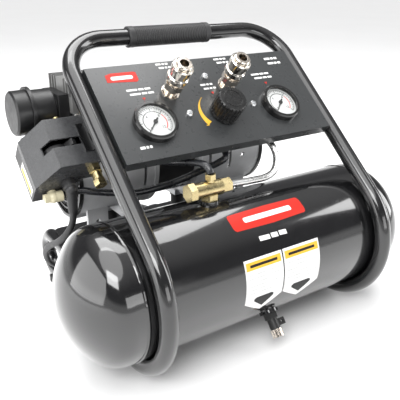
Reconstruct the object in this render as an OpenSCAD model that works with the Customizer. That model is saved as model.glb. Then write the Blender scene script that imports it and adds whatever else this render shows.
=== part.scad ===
// Portable twin-cylinder air compressor with a leaning tube frame
// Millimetres. +X runs to the right along the tank, +Y to the back, +Z up.
// The origin is on the floor, under the middle of the frame and tank.

/* [Tank] */
// Outside diameter of the tank
tank_d = 148; // [140:1:178]
// Length of the rolled barrel between its two weld seams
barrel_len = 327; // [310:1:400]
// Wall of the tank
tank_wall = 2.5; // [2:0.5:4]
// Straight skirt of each end head
head_skirt = 10; // [5:1:20]
// Corner radius of each end head
knuckle_r = 32; // [24:1:40]
// Crown radius of each end head
crown_r = 90; // [86:1:130]
// Angle of the drain forward from straight down
drain_angle = 41.6; // [30:0.1:50]

/* [Frame] */
// Outside diameter of the frame tube
tube_d = 19; // [16:0.5:24]
// Wall of the frame tube
tube_wall = 1.5; // [1:0.25:3]
// Distance between the centres of the two legs
leg_span = 296; // [280:1:356]
// Lean of the legs back from upright
lean = 48.7; // [44:0.1:52]
// Straight leg from the tank up to the centre of the handle
leg_len = 262; // [255:1:315]
// Centreline radius of the handle's corners
bend_r = 50; // [40:1:60]
// Distance from the tank's axis back to the end of the runners
runner_back = 264; // [260:1:320]
// Centreline radius of the runners' rear bends
rear_bend_r = 26; // [24:1:32]
// Thickness of the rubber feet under the runners
foot_h = 3; // [2:0.5:6]
// Length of the handle's rubber grip
grip_len = 112; // [90:1:135]
// Outside diameter of the grip
grip_d = 24; // [23:0.5:30]

/* [Control panel] */
// Height of the panel along its slope
panel_h = 122; // [112:1:128]
// Distance along the slope from the tank to the panel's lower edge
panel_low = 92; // [85:1:100]
// Thickness of the panel's sheet
panel_t = 1.5; // [1:0.25:2.5]
// Depth of the panel's turned edges
panel_lip = 13; // [10:1:16]
// Diameter of the gauges
gauge_d = 49; // [44:0.5:55]
// How far the gauges stand proud of the panel
gauge_h = 8; // [6:0.5:12]
// Half the distance between the two gauges
gauge_x = 85.5; // [78:0.5:92]
// Diameter of the regulator knob
knob_d = 34; // [32:0.5:40]
// Height of the regulator knob
knob_h = 25; // [23:0.5:32]
// Diameter of the sleeves on the quick couplers
sleeve_d = 24; // [22:0.5:28]
// Bore of the quick couplers
coupler_bore = 10.5; // [9.5:0.1:11]
// Depth of the bore of the quick couplers
coupler_depth = 22; // [18:0.5:24]
// Half the distance between the two couplers
coupler_x = 38; // [34:0.5:44]

/* [Pump] */
// Outside radius of the motor's end housings
housing_r = 57; // [52:0.5:60]
// Height of the motor's shaft over the tank's axis
pump_up = 85; // [83:0.5:102]
// Distance of the motor's shaft behind the tank's axis
pump_back = 158; // [154:0.5:172]
// Middle of the motor along the tank
pump_x = -21; // [-30:1:-12]
// Length of the stator stack
stator_len = 58; // [50:1:70]
// Length of each end housing
housing_len = 98; // [97:1:120]
// Bore of the two cylinders
cyl_bore = 46; // [38:0.5:48]
// Travel of the pistons
stroke = 14; // [10:1:16]
// Diameter of the motor's shaft
shaft_d = 12; // [10:0.5:14]
// Diameter of the cooling fans
fan_d = 98; // [90:1:100]
// Height of the rubber mounts under the pump
mount_h = 26; // [20:1:30]

/* [Lines and cord] */
// Outside diameter of the air hoses
hose_d = 8; // [6:0.5:10]
// Outside diameter of the aluminium discharge tube
discharge_d = 8; // [6:0.5:10]
// Outside diameter of the mains cord
cord_d = 7.5; // [6:0.5:8]

/* [Hidden] */

eps = 0.01;
// Running clearance, on the radius, of everything that turns or slides
run = 0.1;

tank_r = tank_d / 2;
tube_r = tube_d / 2;
tank_z = foot_h + tube_d + tank_r;
leg_x = leg_span / 2;
leg_n = tank_r + tube_r;
panel_n = leg_n + tube_r;
barrel_x = barrel_len / 2;
crown_drop = sqrt(pow(crown_r - knuckle_r, 2) - pow(tank_r - knuckle_r, 2));
rail_z = foot_h + tube_r;
return_z = rail_z + 2 * rear_bend_r;
rear_bend_y = runner_back - tube_r - rear_bend_r;
// The whole machine is set so that the origin is under the middle of its length and depth
shift_y = (tank_r + tube_d - runner_back) / 2;

panel_w = leg_span - tube_d;
panel_mid = panel_low + panel_h / 2;
low_row = -19;
high_row = 18;
gauge_mid = -3.5;
coupler_mid = -15;
grip_x = -10;

tray_t = 3;
tray_z = return_z + tube_r + tray_t;
pump_z = tank_z + pump_up;
foot_z = tray_z + mount_h;
stator_r = 47;
rotor_r = 29;
housing_wall = 3.5;
bolt_circle = 50.5;
bolt_r = 3.2;
bearing_r = 16;
shaft_r = shaft_d / 2;
bore_r = cyl_bore / 2;
liner_r = bore_r + 4;
// Distances along the shaft, outwards from the stator's face
bell_end = 30;
web_end = bell_end + 10;
chamber = web_end + 7;
crank_s = chamber - 11 + liner_r;
fan_in = crank_s + liner_r + 1;
fan_w = 8;
guard_w = 5;
mount_s = 25;
// Heights over the shaft
liner_low = 35;
deck_top = 68;
liner_top = 74;
head_w = 64;
head_depth = 70;
head_base = 18;
head_h = 36;
head_port = liner_top + 9;
throw = stroke / 2;
pin_r = 8;
rod_w = 12;
rod_clear = 1;
rod_t = 8;
tray_depth = 134;
stud_r = 3;
mount_y = 40;
foot_t = 8;
foot_in = 13;
foot_out = 88;
skirt_s = 62;
skirt_y = 34;

// Fittings screwed into the tank
valve_x = -46;
boss_h = 3;
boss_r = 11;
port_r = 6;
drain_x = 3;
drain_hex = 8.5;
drain_start = tank_r + 3;
drain_len = 19;
drain_bore = 2.6;
check_z = tank_z + tank_r + boss_h;
check_axis = check_z + 12;
check_left = -66;
check_nut_x = -20;
arm_x = -45;
arm_h = 17;

foot_w = 24;
foot_len = 30;
front_foot_y = 20;

// Heights over the panel's face
dial_h = 2;
needle_h = 3.6;
needle_zero = 225;
gauge_r = gauge_d / 2;
dial_r = gauge_r - 3;
can_r = 20;
can_back = -24;
screw_places = [[-44, -14], [44, -14], [0, 33]];
spindle_r = 4;
regulator_r = 20;
regulator_back = 48;
line_h = -18;
neck_r = 6;
neck_len = 30;
knob_gap = 1.5;
skirt_h = 5.5;
drive_r = 4.5;
socket_h = -17;
socket_r = 6.4;
coupler_h = 47;
barrel_r = 7.5;
sleeve_travel = 3;

// The head's and the filter's places
link_r = 5;
link_wall = 1.5;
filter_x = pump_x - stator_len / 2 - crank_s - head_w / 2;
filter_z = pump_z + 75;
filter_r = 25;
elbow_w = 12;
filter_len = 46;
port_z = pump_z + head_port;

// The pressure switch, in the leaning plane
switch_low = 127;
switch_high = 187;
switch_back = -12;
switch_split = 8;
switch_front = 50.5;
switch_wall = 2;
switch_right = -142;
switch_outline = [[switch_right, 18], [switch_right, switch_front], [-186, switch_front],
  [-207, 16], [-207, switch_back], [-157, switch_back], [-157, 18]];
slot_low = 151;
slot_high = 161;
lever_x = -176;
lever_n = 28;
lever_r = 3;
elbow_x = -188;
elbow_n = 2;
elbow_drop = 6.6;
union_at = [-148, switch_low, 40];
top_nut_at = [-164, switch_high, 32];
relief_at = [-192.5, switch_high, -5];
relief_h = 7;
relief_stem_r = 1.5;
ring_r = 4.6;
ring_wire = 1;
gland_at = [-172, switch_low, 18];
gland_nut = 10;
gland_len = 26;

// Routes of the hoses, the delivery tube and the mains cord, from the tank's axis and the floor
supply_route = [[-178, 89.1, 177], [-168, 88.5, 178], [-158, 85.5, 179.5], [-142, 79, 176.5],
  [-124, 75, 173], [-98, 69, 170], [-72, 64, 172.5], [-51, 58, 177.5], [-32, 49, 186],
  [-13, 36, 197], [-3, 30, 205], [0, 36.6, 212]];
gauge_route = [[-45, 0, 202], [-45, 2, 206], [-47, 8, 210], [-52, 17, 211], [-60, 29, 210],
  [-70, 44, 208], [-80, 60, 208], [-87, 70, 213], [-89, 70, 220], [-89, 64.75, 226]];
delivery_route = [[-20, 0, 185], [-6, 0, 184], [14, 0, 183], [32, 0, 183], [46, 3, 186],
  [55, 9, 193], [60, 16, 202], [60, 27, 213], [57, 50, 222], [58, 80, 240], [64, 101, 257],
  [71, 111, 264], [71, 123, 264]];
cord_route = [[-172, 76, 160.7], [-173, 76, 153], [-175, 77, 145], [-178, 81, 136.5],
  [-181, 89, 127.5], [-183.5, 103, 117], [-185, 120, 107], [-186, 137, 95.5], [-184, 152, 81],
  [-178, 165, 65], [-168, 176, 51], [-154, 184, 39], [-139, 192, 28], [-122, 201, 17],
  [-104, 212, 9], [-84, 226, 4.5], [-62, 241, 4], [-38, 257, 4], [-14, 271, 4], [4, 279, 4],
  [20, 282, 4]];
tail_route = [[2, 290, 31], [-8, 291, 29], [-14, 296, 24], [-16, 302, 19], [-16, 302, 15]];
// The coil of spare cord: mean radius, outside width and height
coil_r = 42;
coil_w = 24;
coil_h = 15;
coil_at = [20, 332, 0];
plug_at = [22, 290, 31];
plug_r = 16;

// ---- places ----

// Moves the machine so that its origin is under the middle of the frame
module placed() { translate([0, shift_y, 0]) children(); }

// The leaning plane of the legs: x across, y up the slope, z straight out of the panel
module sloped() { placed() translate([0, 0, tank_z]) rotate([90 - lean, 0, 0]) children(); }

// A place on the panel's front face, measured from the panel's middle
module on_panel(x, up) { sloped() translate([x, panel_mid + up, panel_n]) children(); }

// A plane across the machine at x: its 2D x runs to the back and its 2D y runs up
module side_plane(x) { placed() translate([x, 0, 0]) rotate([90, 0, 90]) children(); }

// The motor's shaft: z runs outwards along it from the stator's face on the side given
module on_shaft(side) {
  placed() translate([pump_x, pump_back, pump_z])
    mirror([side < 0 ? 1 : 0, 0, 0]) translate([stator_len / 2, 0, 0]) rotate([0, 90, 0])
      rotate([0, 0, 90]) children();
}

// The cylinder's axis on the side given: z runs up from the shaft
module on_cylinder(side) {
  placed() translate([pump_x + side * (stator_len / 2 + crank_s), pump_back, pump_z]) children();
}

// ---- plain shapes ----

module ring(r_out, r_in, h) {
  difference() {
    cylinder(h = h, r = r_out);
    translate([0, 0, -1]) cylinder(h = h + 2, r = r_in);
  }
}

module turned(profile) { rotate_extrude() polygon(profile); }

module pipe(len) { ring(tube_r, tube_r - tube_wall, len); }

module pipe_bend(r, from, angle) {
  rotate_extrude(angle = angle, start = from) translate([r, 0])
    difference() { circle(r = tube_r); circle(r = tube_r - tube_wall); }
}

module rounded_box(w, d, h, r) {
  translate([r - w / 2, r - d / 2, 0]) linear_extrude(h) union() {
    translate([-r, 0]) square([w, d - 2 * r]);
    translate([0, -r]) square([w - 2 * r, d]);
    for (x = [0, w - 2 * r], y = [0, d - 2 * r]) translate([x, y]) circle(r = r);
  }
}

// ---- swept hoses ----

function smooth_at(p, i, t) =
  let(a = p[max(i - 1, 0)], b = p[i], c = p[i + 1], d = p[min(i + 2, len(p) - 1)])
  0.5 * (2 * b + (c - a) * t + (2 * a - 5 * b + 4 * c - d) * t * t
    + (3 * b - a - 3 * c + d) * t * t * t);
function smooth(p, steps) = concat(
  [for (i = [0 : len(p) - 2], s = [0 : steps - 1]) smooth_at(p, i, s / steps)], [p[len(p) - 1]]);
function unit(v) = v / norm(v);
function heading(p, i) = unit(p[min(i + 1, len(p) - 1)] - p[max(i - 1, 0)]);
function across(v, t) = unit(v - (v * t) * t);
function sides(p, i = 0, last = [0.3, 0.2, 1]) =
  i >= len(p) ? [] : let(s = across(last, heading(p, i))) concat([s], sides(p, i + 1, s));

module swept(route, d, facets = 10, steps = 4) {
  path = smooth(route, steps);
  u = sides(path);
  n = len(path);
  rings = [for (i = [0 : n - 1], k = [0 : facets - 1])
    let(a = 360 * k / facets, w = cross(heading(path, i), u[i]))
    path[i] + d / 2 * (cos(a) * u[i] + sin(a) * w)];
  walls = [for (i = [0 : n - 2], k = [0 : facets - 1]) let(m = (k + 1) % facets)
    each [[i * facets + k, (i + 1) * facets + k, (i + 1) * facets + m],
          [i * facets + k, (i + 1) * facets + m, i * facets + m]]];
  ends = [[for (k = [0 : facets - 1]) k],
          [for (k = [facets - 1 : -1 : 0]) (n - 1) * facets + k]];
  placed() polyhedron(points = rings, faces = concat(walls, ends), convexity = 6);
}

// ---- tank ----

// Points on a round stretch, with its angles counted from straight up
function arc(centre, r, from, to, steps) =
  [for (i = [0 : steps]) let(a = from + (to - from) * i / steps)
    centre + r * [sin(a), cos(a)]];

// The crown and the knuckle of an end head, a wall's thickness inside its outer face
function head_curve(inside) =
  let(middle = [0, -crown_drop], corner = [tank_r - knuckle_r, 0], edge = atan2(corner[0], crown_drop))
  concat(arc(middle, crown_r - inside, 0, edge, 12),
         [for (i = [1 : 10]) arc(corner, knuckle_r - inside, edge, 90, 10)[i]]);
function backwards(list) = [for (i = [len(list) - 1 : -1 : 0]) list[i]];

module tank_head(side) {
  placed() translate([side * (barrel_x + head_skirt), 0, tank_z]) rotate([0, side * 90, 0])
    turned(concat(head_curve(0), [[tank_r, -head_skirt], [tank_r - tank_wall, -head_skirt]],
      backwards(head_curve(tank_wall))));
}

module tank_head_left() { color("#151515") tank_head(-1); }
module tank_head_right() { color("#151515") tank_head(1); }

module to_drain() {
  translate([drain_x, 0, 0]) rotate([-drain_angle, 0, 0]) rotate([180, 0, 0]) children();
}

module tank_barrel() {
  color("#151515") placed() translate([0, 0, tank_z]) difference() {
    union() {
      rotate([0, 90, 0]) translate([0, 0, -barrel_x]) cylinder(h = barrel_len, r = tank_r);
      translate([valve_x, 0, 0]) cylinder(h = tank_r + boss_h, r = boss_r);
      to_drain() cylinder(h = tank_r + 3, r = boss_r);
    }
    rotate([0, 90, 0]) translate([0, 0, -barrel_x - 1])
      cylinder(h = barrel_len + 2, r = tank_r - tank_wall);
    translate([valve_x, 0, 0]) cylinder(h = tank_r + 20, r = port_r);
    to_drain() cylinder(h = tank_r + 20, r = port_r);
  }
}

// Threaded plug with a hexagon, a round neck, a drilled ear and the needle seat's bore
module drain_valve_body() {
  color("#2a2a2a") placed() translate([0, 0, tank_z]) to_drain() difference() {
    union() {
      translate([0, 0, drain_start - 8]) cylinder(h = 8, r = port_r - 0.05);
      translate([0, 0, drain_start]) cylinder(h = 7, r = drain_hex, $fn = 6);
      translate([0, 0, drain_start + 7]) cylinder(h = drain_len - 7, r = 6);
      translate([0, -2, drain_start + 9]) cube([15, 4, 8]);
    }
    translate([11.5, 3, drain_start + 13]) rotate([90, 0, 0]) cylinder(h = 6, r = 1.8);
    translate([0, 0, drain_start - 9]) cylinder(h = drain_len + 10, r = drain_bore);
  }
}

module drain_knob() {
  color("silver") placed() translate([0, 0, tank_z]) to_drain() {
    translate([0, 0, drain_start + 4]) cylinder(h = drain_len - 3.5, r = drain_bore - run);
    difference() {
      translate([0, 0, drain_start + drain_len + 0.3]) cylinder(h = 9, r = 6.8);
      for (a = [0 : 30 : 330]) rotate([0, 0, a])
        translate([7.2, 0, drain_start + drain_len]) cylinder(h = 11, r = 1);
    }
  }
}

// Brass body lying along the top of the tank, with its plug, tube nut and an arm for the hose
module check_valve() {
  color("#b08d3c") placed() {
    translate([valve_x, 0, check_z - 8]) cylinder(h = 8, r = port_r - 0.05);
    translate([valve_x, 0, check_z]) cylinder(h = 7, r = 10, $fn = 6);
    translate([valve_x, 0, check_z + 6]) cylinder(h = 6, r = 7);
    translate([check_left, 0, check_axis]) rotate([0, 90, 0]) {
      cylinder(h = check_nut_x - 12 - check_left, r = 9);
      translate([0, 0, -8]) cylinder(h = 8, r = 10.5, $fn = 6);
    }
    translate([check_nut_x - 12, 0, check_axis]) rotate([0, 90, 0])
      cylinder(h = 12, r = 8.5, $fn = 6);
    translate([arm_x, 0, check_axis]) cylinder(h = arm_h - 6, r = 4.5);
    translate([arm_x, 0, check_axis + arm_h - 6]) cylinder(h = 6, r = 6.4, $fn = 6);
  }
}

// ---- frame ----

// One length of tube bent into the handle and its two straight legs
module hoop_tube() {
  color("#2b2b2b") {
    sloped() translate([0, 0, leg_n]) {
      for (s = [-1, 1]) translate([s * leg_x, 0, 0]) rotate([-90, 0, 0]) pipe(leg_len - bend_r);
      translate([bend_r - leg_x, leg_len, 0]) rotate([0, 90, 0]) pipe(leg_span - 2 * bend_r);
      translate([bend_r - leg_x, leg_len - bend_r, 0]) pipe_bend(bend_r, 90, 90);
      translate([leg_x - bend_r, leg_len - bend_r, 0]) pipe_bend(bend_r, 0, 90);
    }
    switch_bracket();
  }
}

// Angle welded behind the left leg, which the pressure switch is screwed to
module switch_bracket() {
  low = switch_low + 13;
  high = switch_high - 12;
  sloped() difference() {
    union() {
      translate([switch_right - 3, low, switch_front])
        cube([3, high - low, leg_n - switch_front]);
      translate([switch_right - 12, low, switch_front]) cube([12, high - low, 2]);
    }
    translate([-leg_x, low - 1, leg_n]) rotate([-90, 0, 0]) cylinder(h = high, r = tube_r);
  }
}

// Tube wrapped round the front of the tank, along the floor, up and forward to the tank's back
module runner(side) {
  difference() {
    union() {
      side_plane(side * leg_x) {
        translate([0, tank_z]) pipe_bend(leg_n, 180 - lean, 90 + lean);
        translate([rear_bend_y, return_z - rear_bend_r]) pipe_bend(rear_bend_r, -90, 180);
        translate([0, return_z]) rotate([0, 90, 0]) pipe(rear_bend_y);
        translate([0, rail_z]) rotate([0, 90, 0]) pipe(rear_bend_y);
      }
    }
    placed() translate([side * leg_x - tube_d, 0, tank_z]) rotate([0, 90, 0])
      cylinder(h = 2 * tube_d, r = tank_r);
  }
}

module left_runner() { color("#2b2b2b") runner(-1); }
module right_runner() { color("#2b2b2b") runner(1); }

// Rubber saddles under the runners, two at the tank and two at the back
module rubber_feet() {
  color("#1c1c1c") placed() for (s = [-1, 1], y = [front_foot_y, rear_bend_y - foot_len])
    difference() {
      translate([s * leg_x, y + foot_len / 2, 0]) rounded_box(foot_w, foot_len, foot_h + 6, 3);
      translate([s * leg_x, y - 1, rail_z]) rotate([-90, 0, 0])
        cylinder(h = foot_len + 2, r = tube_r);
    }
}

// Ribbed rubber sleeve on the handle, with a plain collar at each end
module grip_sleeve() {
  pitch = 2.4;
  collar = 7;
  r = grip_d / 2;
  ribs = floor((grip_len - 2 * collar) / pitch);
  first = (grip_len - ribs * pitch) / 2;
  color("#303030") sloped() translate([grip_x - grip_len / 2, leg_len, leg_n])
    rotate([0, 90, 0]) turned(concat(
      [[tube_r, 0], [r - 1, 0], [r, 1], [r, first - 0.5]],
      [for (i = [0 : ribs - 1]) let(x = first + i * pitch)
        each [[r - 1, x], [r - 0.3, x + 0.6], [r - 0.3, x + 1.5], [r - 1, x + 2.1]]],
      [[r, grip_len - first + 0.5], [r, grip_len - 1], [r - 1, grip_len], [tube_r, grip_len]]));
}

// ---- control panel ----

function gauge_at(side) = gauge_mid + side * gauge_x;
function coupler_at(side) = coupler_mid + side * coupler_x;

module at_gauges() { for (s = [-1, 1]) on_panel(gauge_at(s), low_row) children(); }
module at_couplers() { for (s = [-1, 1]) on_panel(coupler_at(s), high_row) children(); }

module control_panel() {
  color("#3f4142") difference() {
    sloped() translate([-panel_w / 2, panel_low, panel_n - panel_lip]) difference() {
      cube([panel_w, panel_h, panel_lip]);
      translate([panel_t, panel_t, -1])
        cube([panel_w - 2 * panel_t, panel_h - 2 * panel_t, panel_lip - panel_t + 1]);
    }
    at_gauges() translate([0, 0, -5]) cylinder(h = 10, r = 20.4);
    on_panel(0, low_row) translate([0, 0, -5]) cylinder(h = 10, r = 11.2);
    at_couplers() translate([0, 0, -5]) cylinder(h = 10, r = 7);
    for (p = screw_places) on_panel(p[0], p[1]) translate([0, 0, -5]) cylinder(h = 10, r = 2.2);
  }
}

// Pan-head screws with crossed slots
module panel_screws() {
  color("silver") for (p = screw_places) on_panel(p[0], p[1]) difference() {
    union() {
      translate([0, 0, -10]) cylinder(h = 10, r = 2);
      turned([[0, 0], [4, 0], [4, 2.6], [3, 4], [0, 4.4]]);
    }
    for (a = [0, 90]) rotate([0, 0, a + 20]) translate([-2.4, -0.5, 3]) cube([4.8, 1, 3]);
  }
}

// Steel cans with a turned-over bezel, a back connection and the post that carries the needle
module gauge_cases() {
  color("#1d1d1d") at_gauges() {
    difference() {
      turned([[0, can_back], [can_r, can_back], [can_r, 0], [gauge_r, 0], [gauge_r, gauge_h - 1.5],
        [gauge_r - 1.2, gauge_h], [dial_r - 1, gauge_h], [dial_r - 1, gauge_h - 1],
        [dial_r + 0.1, gauge_h - 1], [dial_r + 0.1, dial_h], [can_r - 1.2, dial_h],
        [can_r - 1.2, can_back + 1.2], [4, can_back + 1.2], [4, 0.5], [0, 0.5]]);
      translate([0, 0, -6.2]) cylinder(h = 10, r = 0.8 + run);
    }
    translate([0, 0, can_back - 6]) cylinder(h = 6, r = 7, $fn = 6);
    translate([0, 0, can_back - 14]) cylinder(h = 8, r = 5);
  }
}

module gauge_dials() { color("white") at_gauges() translate([0, 0, dial_h]) ring(dial_r, 1.2, 0.8); }

module gauge_lenses() {
  color([0.8, 0.9, 1, 0.3]) at_gauges() translate([0, 0, gauge_h - 2.2])
    cylinder(h = 1.2, r = dial_r);
}

// A needle resting at zero, with its tail and its stem
module needle(side) {
  color("#202020") on_panel(gauge_at(side), low_row) {
    translate([0, 0, -6]) cylinder(h = needle_h + 7, r = 0.8);
    translate([0, 0, needle_h]) cylinder(h = 1.2, r = 2.4);
    rotate([0, 0, needle_zero]) translate([0, 0, needle_h + 0.2]) linear_extrude(0.6)
      polygon([[-6, -1], [0, -0.8], [dial_r - 5, -0.25], [dial_r - 5, 0.25], [0, 0.8], [-6, 1]]);
  }
}

module tank_gauge_needle() { needle(-1); }
module line_gauge_needle() { needle(1); }

// Diaphragm regulator behind the panel, held by its panel nut
module regulator_body() {
  color("#8c8f92") on_panel(0, low_row) difference() {
    union() {
      translate([0, 0, -regulator_back]) cylinder(h = regulator_back - panel_t, r = regulator_r);
      translate([0, 0, -panel_t - eps]) cylinder(h = panel_t + 4, r = 11);
      cylinder(h = 4, r = 13.8, $fn = 6);
      translate([0, 0, line_h]) rotate([-90, 0, 0])
        cylinder(h = high_row - low_row - 9, r = neck_r);
      translate([0, 0, line_h - 12]) rotate([90, 0, 0]) cylinder(h = neck_len, r = neck_r);
    }
    translate([0, 0, -24]) cylinder(h = 40, r = spindle_r + run);
  }
}

// Screwed spindle with a hexagonal top that drives the knob
module regulator_spindle() {
  color("#c9c9c9") on_panel(0, low_row) {
    translate([0, 0, -23.5]) cylinder(h = 29.5, r = spindle_r);
    translate([0, 0, 6]) cylinder(h = 13, r = drive_r, $fn = 6);
  }
}

// Ribbed knob that is pulled out to unlock and then turned on the spindle
module regulator_knob() {
  ribs = 24;
  color("#191919") on_panel(0, low_row) difference() {
    translate([0, 0, knob_gap]) turned([[0, 0], [knob_d / 2, 0], [knob_d / 2, knob_h - 1.5],
      [knob_d / 2 - 1.5, knob_h], [0, knob_h]]);
    for (i = [0 : ribs - 1]) rotate([0, 0, i * 360 / ribs])
      translate([knob_d / 2 + 0.3, 0, knob_gap + 2.5]) cylinder(h = knob_h, r = 1.3);
    translate([0, 0, knob_gap - 1]) cylinder(h = skirt_h + 1, r = 14.4);
    translate([0, 0, knob_gap + skirt_h - eps]) cylinder(h = 15, r = drive_r + 2 * run, $fn = 6);
  }
}

// Bar that feeds both couplers from the regulator
module air_manifold() {
  color("#9a9c9e") difference() {
    on_panel(coupler_at(-1) - 12, high_row) translate([0, -9, -27])
      cube([2 * coupler_x + 24, 18, 18]);
    at_couplers() translate([0, 0, socket_h]) cylinder(h = 20, r = socket_r);
  }
}

// Plated quick coupler: seal ring, neck, hexagon, barrel and nose with the plug's bore
module coupler_body(side) {
  color("#b9b4a8") on_panel(coupler_at(side), high_row) difference() {
    union() {
      translate([0, 0, socket_h]) cylinder(h = 20, r = socket_r);
      cylinder(h = 1.5, r = 10.5);
      cylinder(h = 9, r = 6.5);
      translate([0, 0, 9]) cylinder(h = 8, r = 11, $fn = 6);
      translate([0, 0, 17]) cylinder(h = coupler_h - 17, r = barrel_r);
      turned([[0, coupler_h - 4], [9.2, coupler_h - 4], [9.2, coupler_h - 1],
        [8.2, coupler_h], [0, coupler_h]]);
    }
    translate([0, 0, coupler_h - coupler_depth]) cylinder(h = 30, r = coupler_bore / 2);
    translate([0, 0, socket_h - 1]) cylinder(h = coupler_h, r = 2);
  }
}

module coupler_body_left() { coupler_body(-1); }
module coupler_body_right() { coupler_body(1); }

// Sprung sleeve, drawn towards the panel to let the plug go
module coupler_sleeve(side) {
  r = sleeve_d / 2;
  low = 17 + sleeve_travel + 1;
  high = coupler_h - 4.3;
  color("#cfcabd") on_panel(coupler_at(side), high_row)
    turned([[barrel_r + run, low], [r - 1.5, low], [r, low + 1.5], [r, low + 7],
      [r - 1.6, low + 8.2], [r - 1.6, high - 7.2], [r, high - 6], [r, high - 1],
      [r - 1, high], [barrel_r + run, high]]);
}

module coupler_sleeve_left() { coupler_sleeve(-1); }
module coupler_sleeve_right() { coupler_sleeve(1); }

// ---- pump ----

// Plate across the runners' upper tubes, which carries the pump's rubber mounts
module pump_tray() {
  color("#1e1e1e") difference() {
    placed() translate([0, pump_back, tray_z - tray_t])
      rounded_box(leg_span, tray_depth, tray_t, 8);
    at_mounts() translate([0, 0, -20]) cylinder(h = 30, r = stud_r + run);
  }
}

// The tops of the four mounts are under the feet of the end housings
module at_mounts() {
  for (s = [-1, 1], y = [-mount_y, mount_y]) placed()
    translate([pump_x + s * (stator_len / 2 + mount_s), pump_back + y, tray_z]) children();
}

// Rubber blocks with a stud up through the foot and a stud down through the tray
module pump_mounts() {
  color("#222222") at_mounts() {
    turned([[0, 0], [11, 0], [11, 3], [9.5, 5], [9.5, mount_h - 5], [11, mount_h - 3],
      [11, mount_h], [0, mount_h]]);
    translate([0, 0, -9]) cylinder(h = mount_h + foot_t + 14, r = stud_r);
    translate([0, 0, -tray_t - 4]) cylinder(h = 4, r = 5, $fn = 6);
    translate([0, 0, mount_h + foot_t]) cylinder(h = 4, r = 5, $fn = 6);
  }
}

module housing_shape() {
  turned([[bearing_r, bell_end], [bearing_r, web_end], [bearing_r + 5, web_end],
    [bearing_r + 5, web_end - 4], [44, web_end - 4], [44, chamber],
    [housing_r - housing_wall, chamber], [housing_r - housing_wall, housing_len],
    [housing_r - 1, housing_len], [housing_r - 1, 6], [housing_r, 5], [housing_r, 0],
    [44, 0], [44, bell_end]]);
}

// A slot cut part of the way round the front of the housing, at s along the shaft
module vent_slot(s) {
  translate([0, 0, s]) rotate_extrude(angle = 26, start = 176) translate([42, 0])
    square([20, 4]);
}

// Two foot rails with a web between them, and a drilled skirt up to the housing at each side
module pump_feet() {
  low = foot_z - pump_z;
  for (f = [-1, 1])
    translate([f * mount_y - 14, low, foot_in]) cube([28, foot_t, foot_out - foot_in]);
  difference() {
    union() {
      translate([-30, low + foot_t / 2, mount_s - 6]) cube([60, -low - foot_t / 2 - 42, 12]);
      for (f = [-1, 1]) translate([f * skirt_y - 2.5, low, skirt_s])
        cube([5, -low - 38, foot_out - skirt_s]);
    }
    cylinder(h = housing_len, r = housing_r - 2);
    translate([-50, low + 18, skirt_s + 13]) rotate([0, 90, 0]) cylinder(h = 100, r = 3);
  }
}

// Cast end housing: bell over the windings, bearing web, crank chamber, deck and feet
module crankcase(side) {
  color("#c4c6c8") on_shaft(side) difference() {
    union() {
      housing_shape();
      difference() {
        translate([-36, 40, crank_s - 34]) cube([72, deck_top - 40, 35 + liner_r]);
        cylinder(h = housing_len + 1, r = housing_r - housing_wall);
      }
      pump_feet();
    }
    translate([0, liner_low - 5, crank_s]) rotate([-90, 0, 0]) cylinder(h = 60, r = liner_r);
    for (a = [45 : 90 : 315]) rotate([0, 0, a]) {
      translate([bolt_circle, 0, -1]) cylinder(h = 60, r = bolt_r + run);
      translate([bolt_circle, 0, web_end + 1]) cylinder(h = 8, r = 5.3);
    }
    vent_slot(16);
    vent_slot(48);
    translate([0, -5, 70]) rotate([0, -90, 0]) cylinder(h = housing_r + 5, r = 3);
    for (x = [-mount_y, mount_y]) translate([x, foot_z - pump_z - 1, mount_s])
      rotate([-90, 0, 0]) cylinder(h = 20, r = stud_r + run);
  }
}

module crankcase_left() { crankcase(-1); }
module crankcase_right() { crankcase(1); }

module stator() {
  color("#161616") placed() translate([pump_x - stator_len / 2, pump_back, pump_z])
    rotate([0, 90, 0]) ring(stator_r, rotor_r + 0.6, stator_len);
}

module stator_windings() {
  color("#b5622a") for (s = [-1, 1]) on_shaft(s)
    turned([[31, 0], [43, 0], [43, 11], [40, 15], [34, 15], [31, 11]]);
}

// Four long bolts that clamp the two end housings on the stator
module tie_bolts() {
  reach = stator_len / 2 + web_end + 1;
  color("#d5d7d9") placed() translate([pump_x, pump_back, pump_z]) rotate([0, 90, 0])
    for (a = [45 : 90 : 315]) rotate([0, 0, a]) translate([bolt_circle, 0, 0]) {
      translate([0, 0, -reach]) cylinder(h = 2 * reach, r = bolt_r);
      for (s = [-1, 1]) translate([0, 0, s * (reach + 2.5) - 2.5]) cylinder(h = 5, r = 5, $fn = 6);
    }
}

module shaft_bearings() {
  color("#9b9da0") for (s = [-1, 1]) on_shaft(s) translate([0, 0, bell_end])
    ring(bearing_r, shaft_r + run, web_end - bell_end);
}

// Shaft with the rotor's core and one crank pin at each end, half a turn apart
module motor_shaft() {
  color("#8a8c8e") placed() translate([pump_x, pump_back, pump_z]) rotate([0, 90, 0]) {
    half = stator_len / 2;
    end = half + fan_in + fan_w;
    translate([0, 0, -end]) cylinder(h = 2 * end, r = shaft_r);
    translate([0, 0, -half]) cylinder(h = stator_len, r = rotor_r);
    for (s = [-1, 1]) translate([0, s * throw, s * (half + crank_s) - 8]) cylinder(h = 16, r = pin_r);
  }
}

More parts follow.
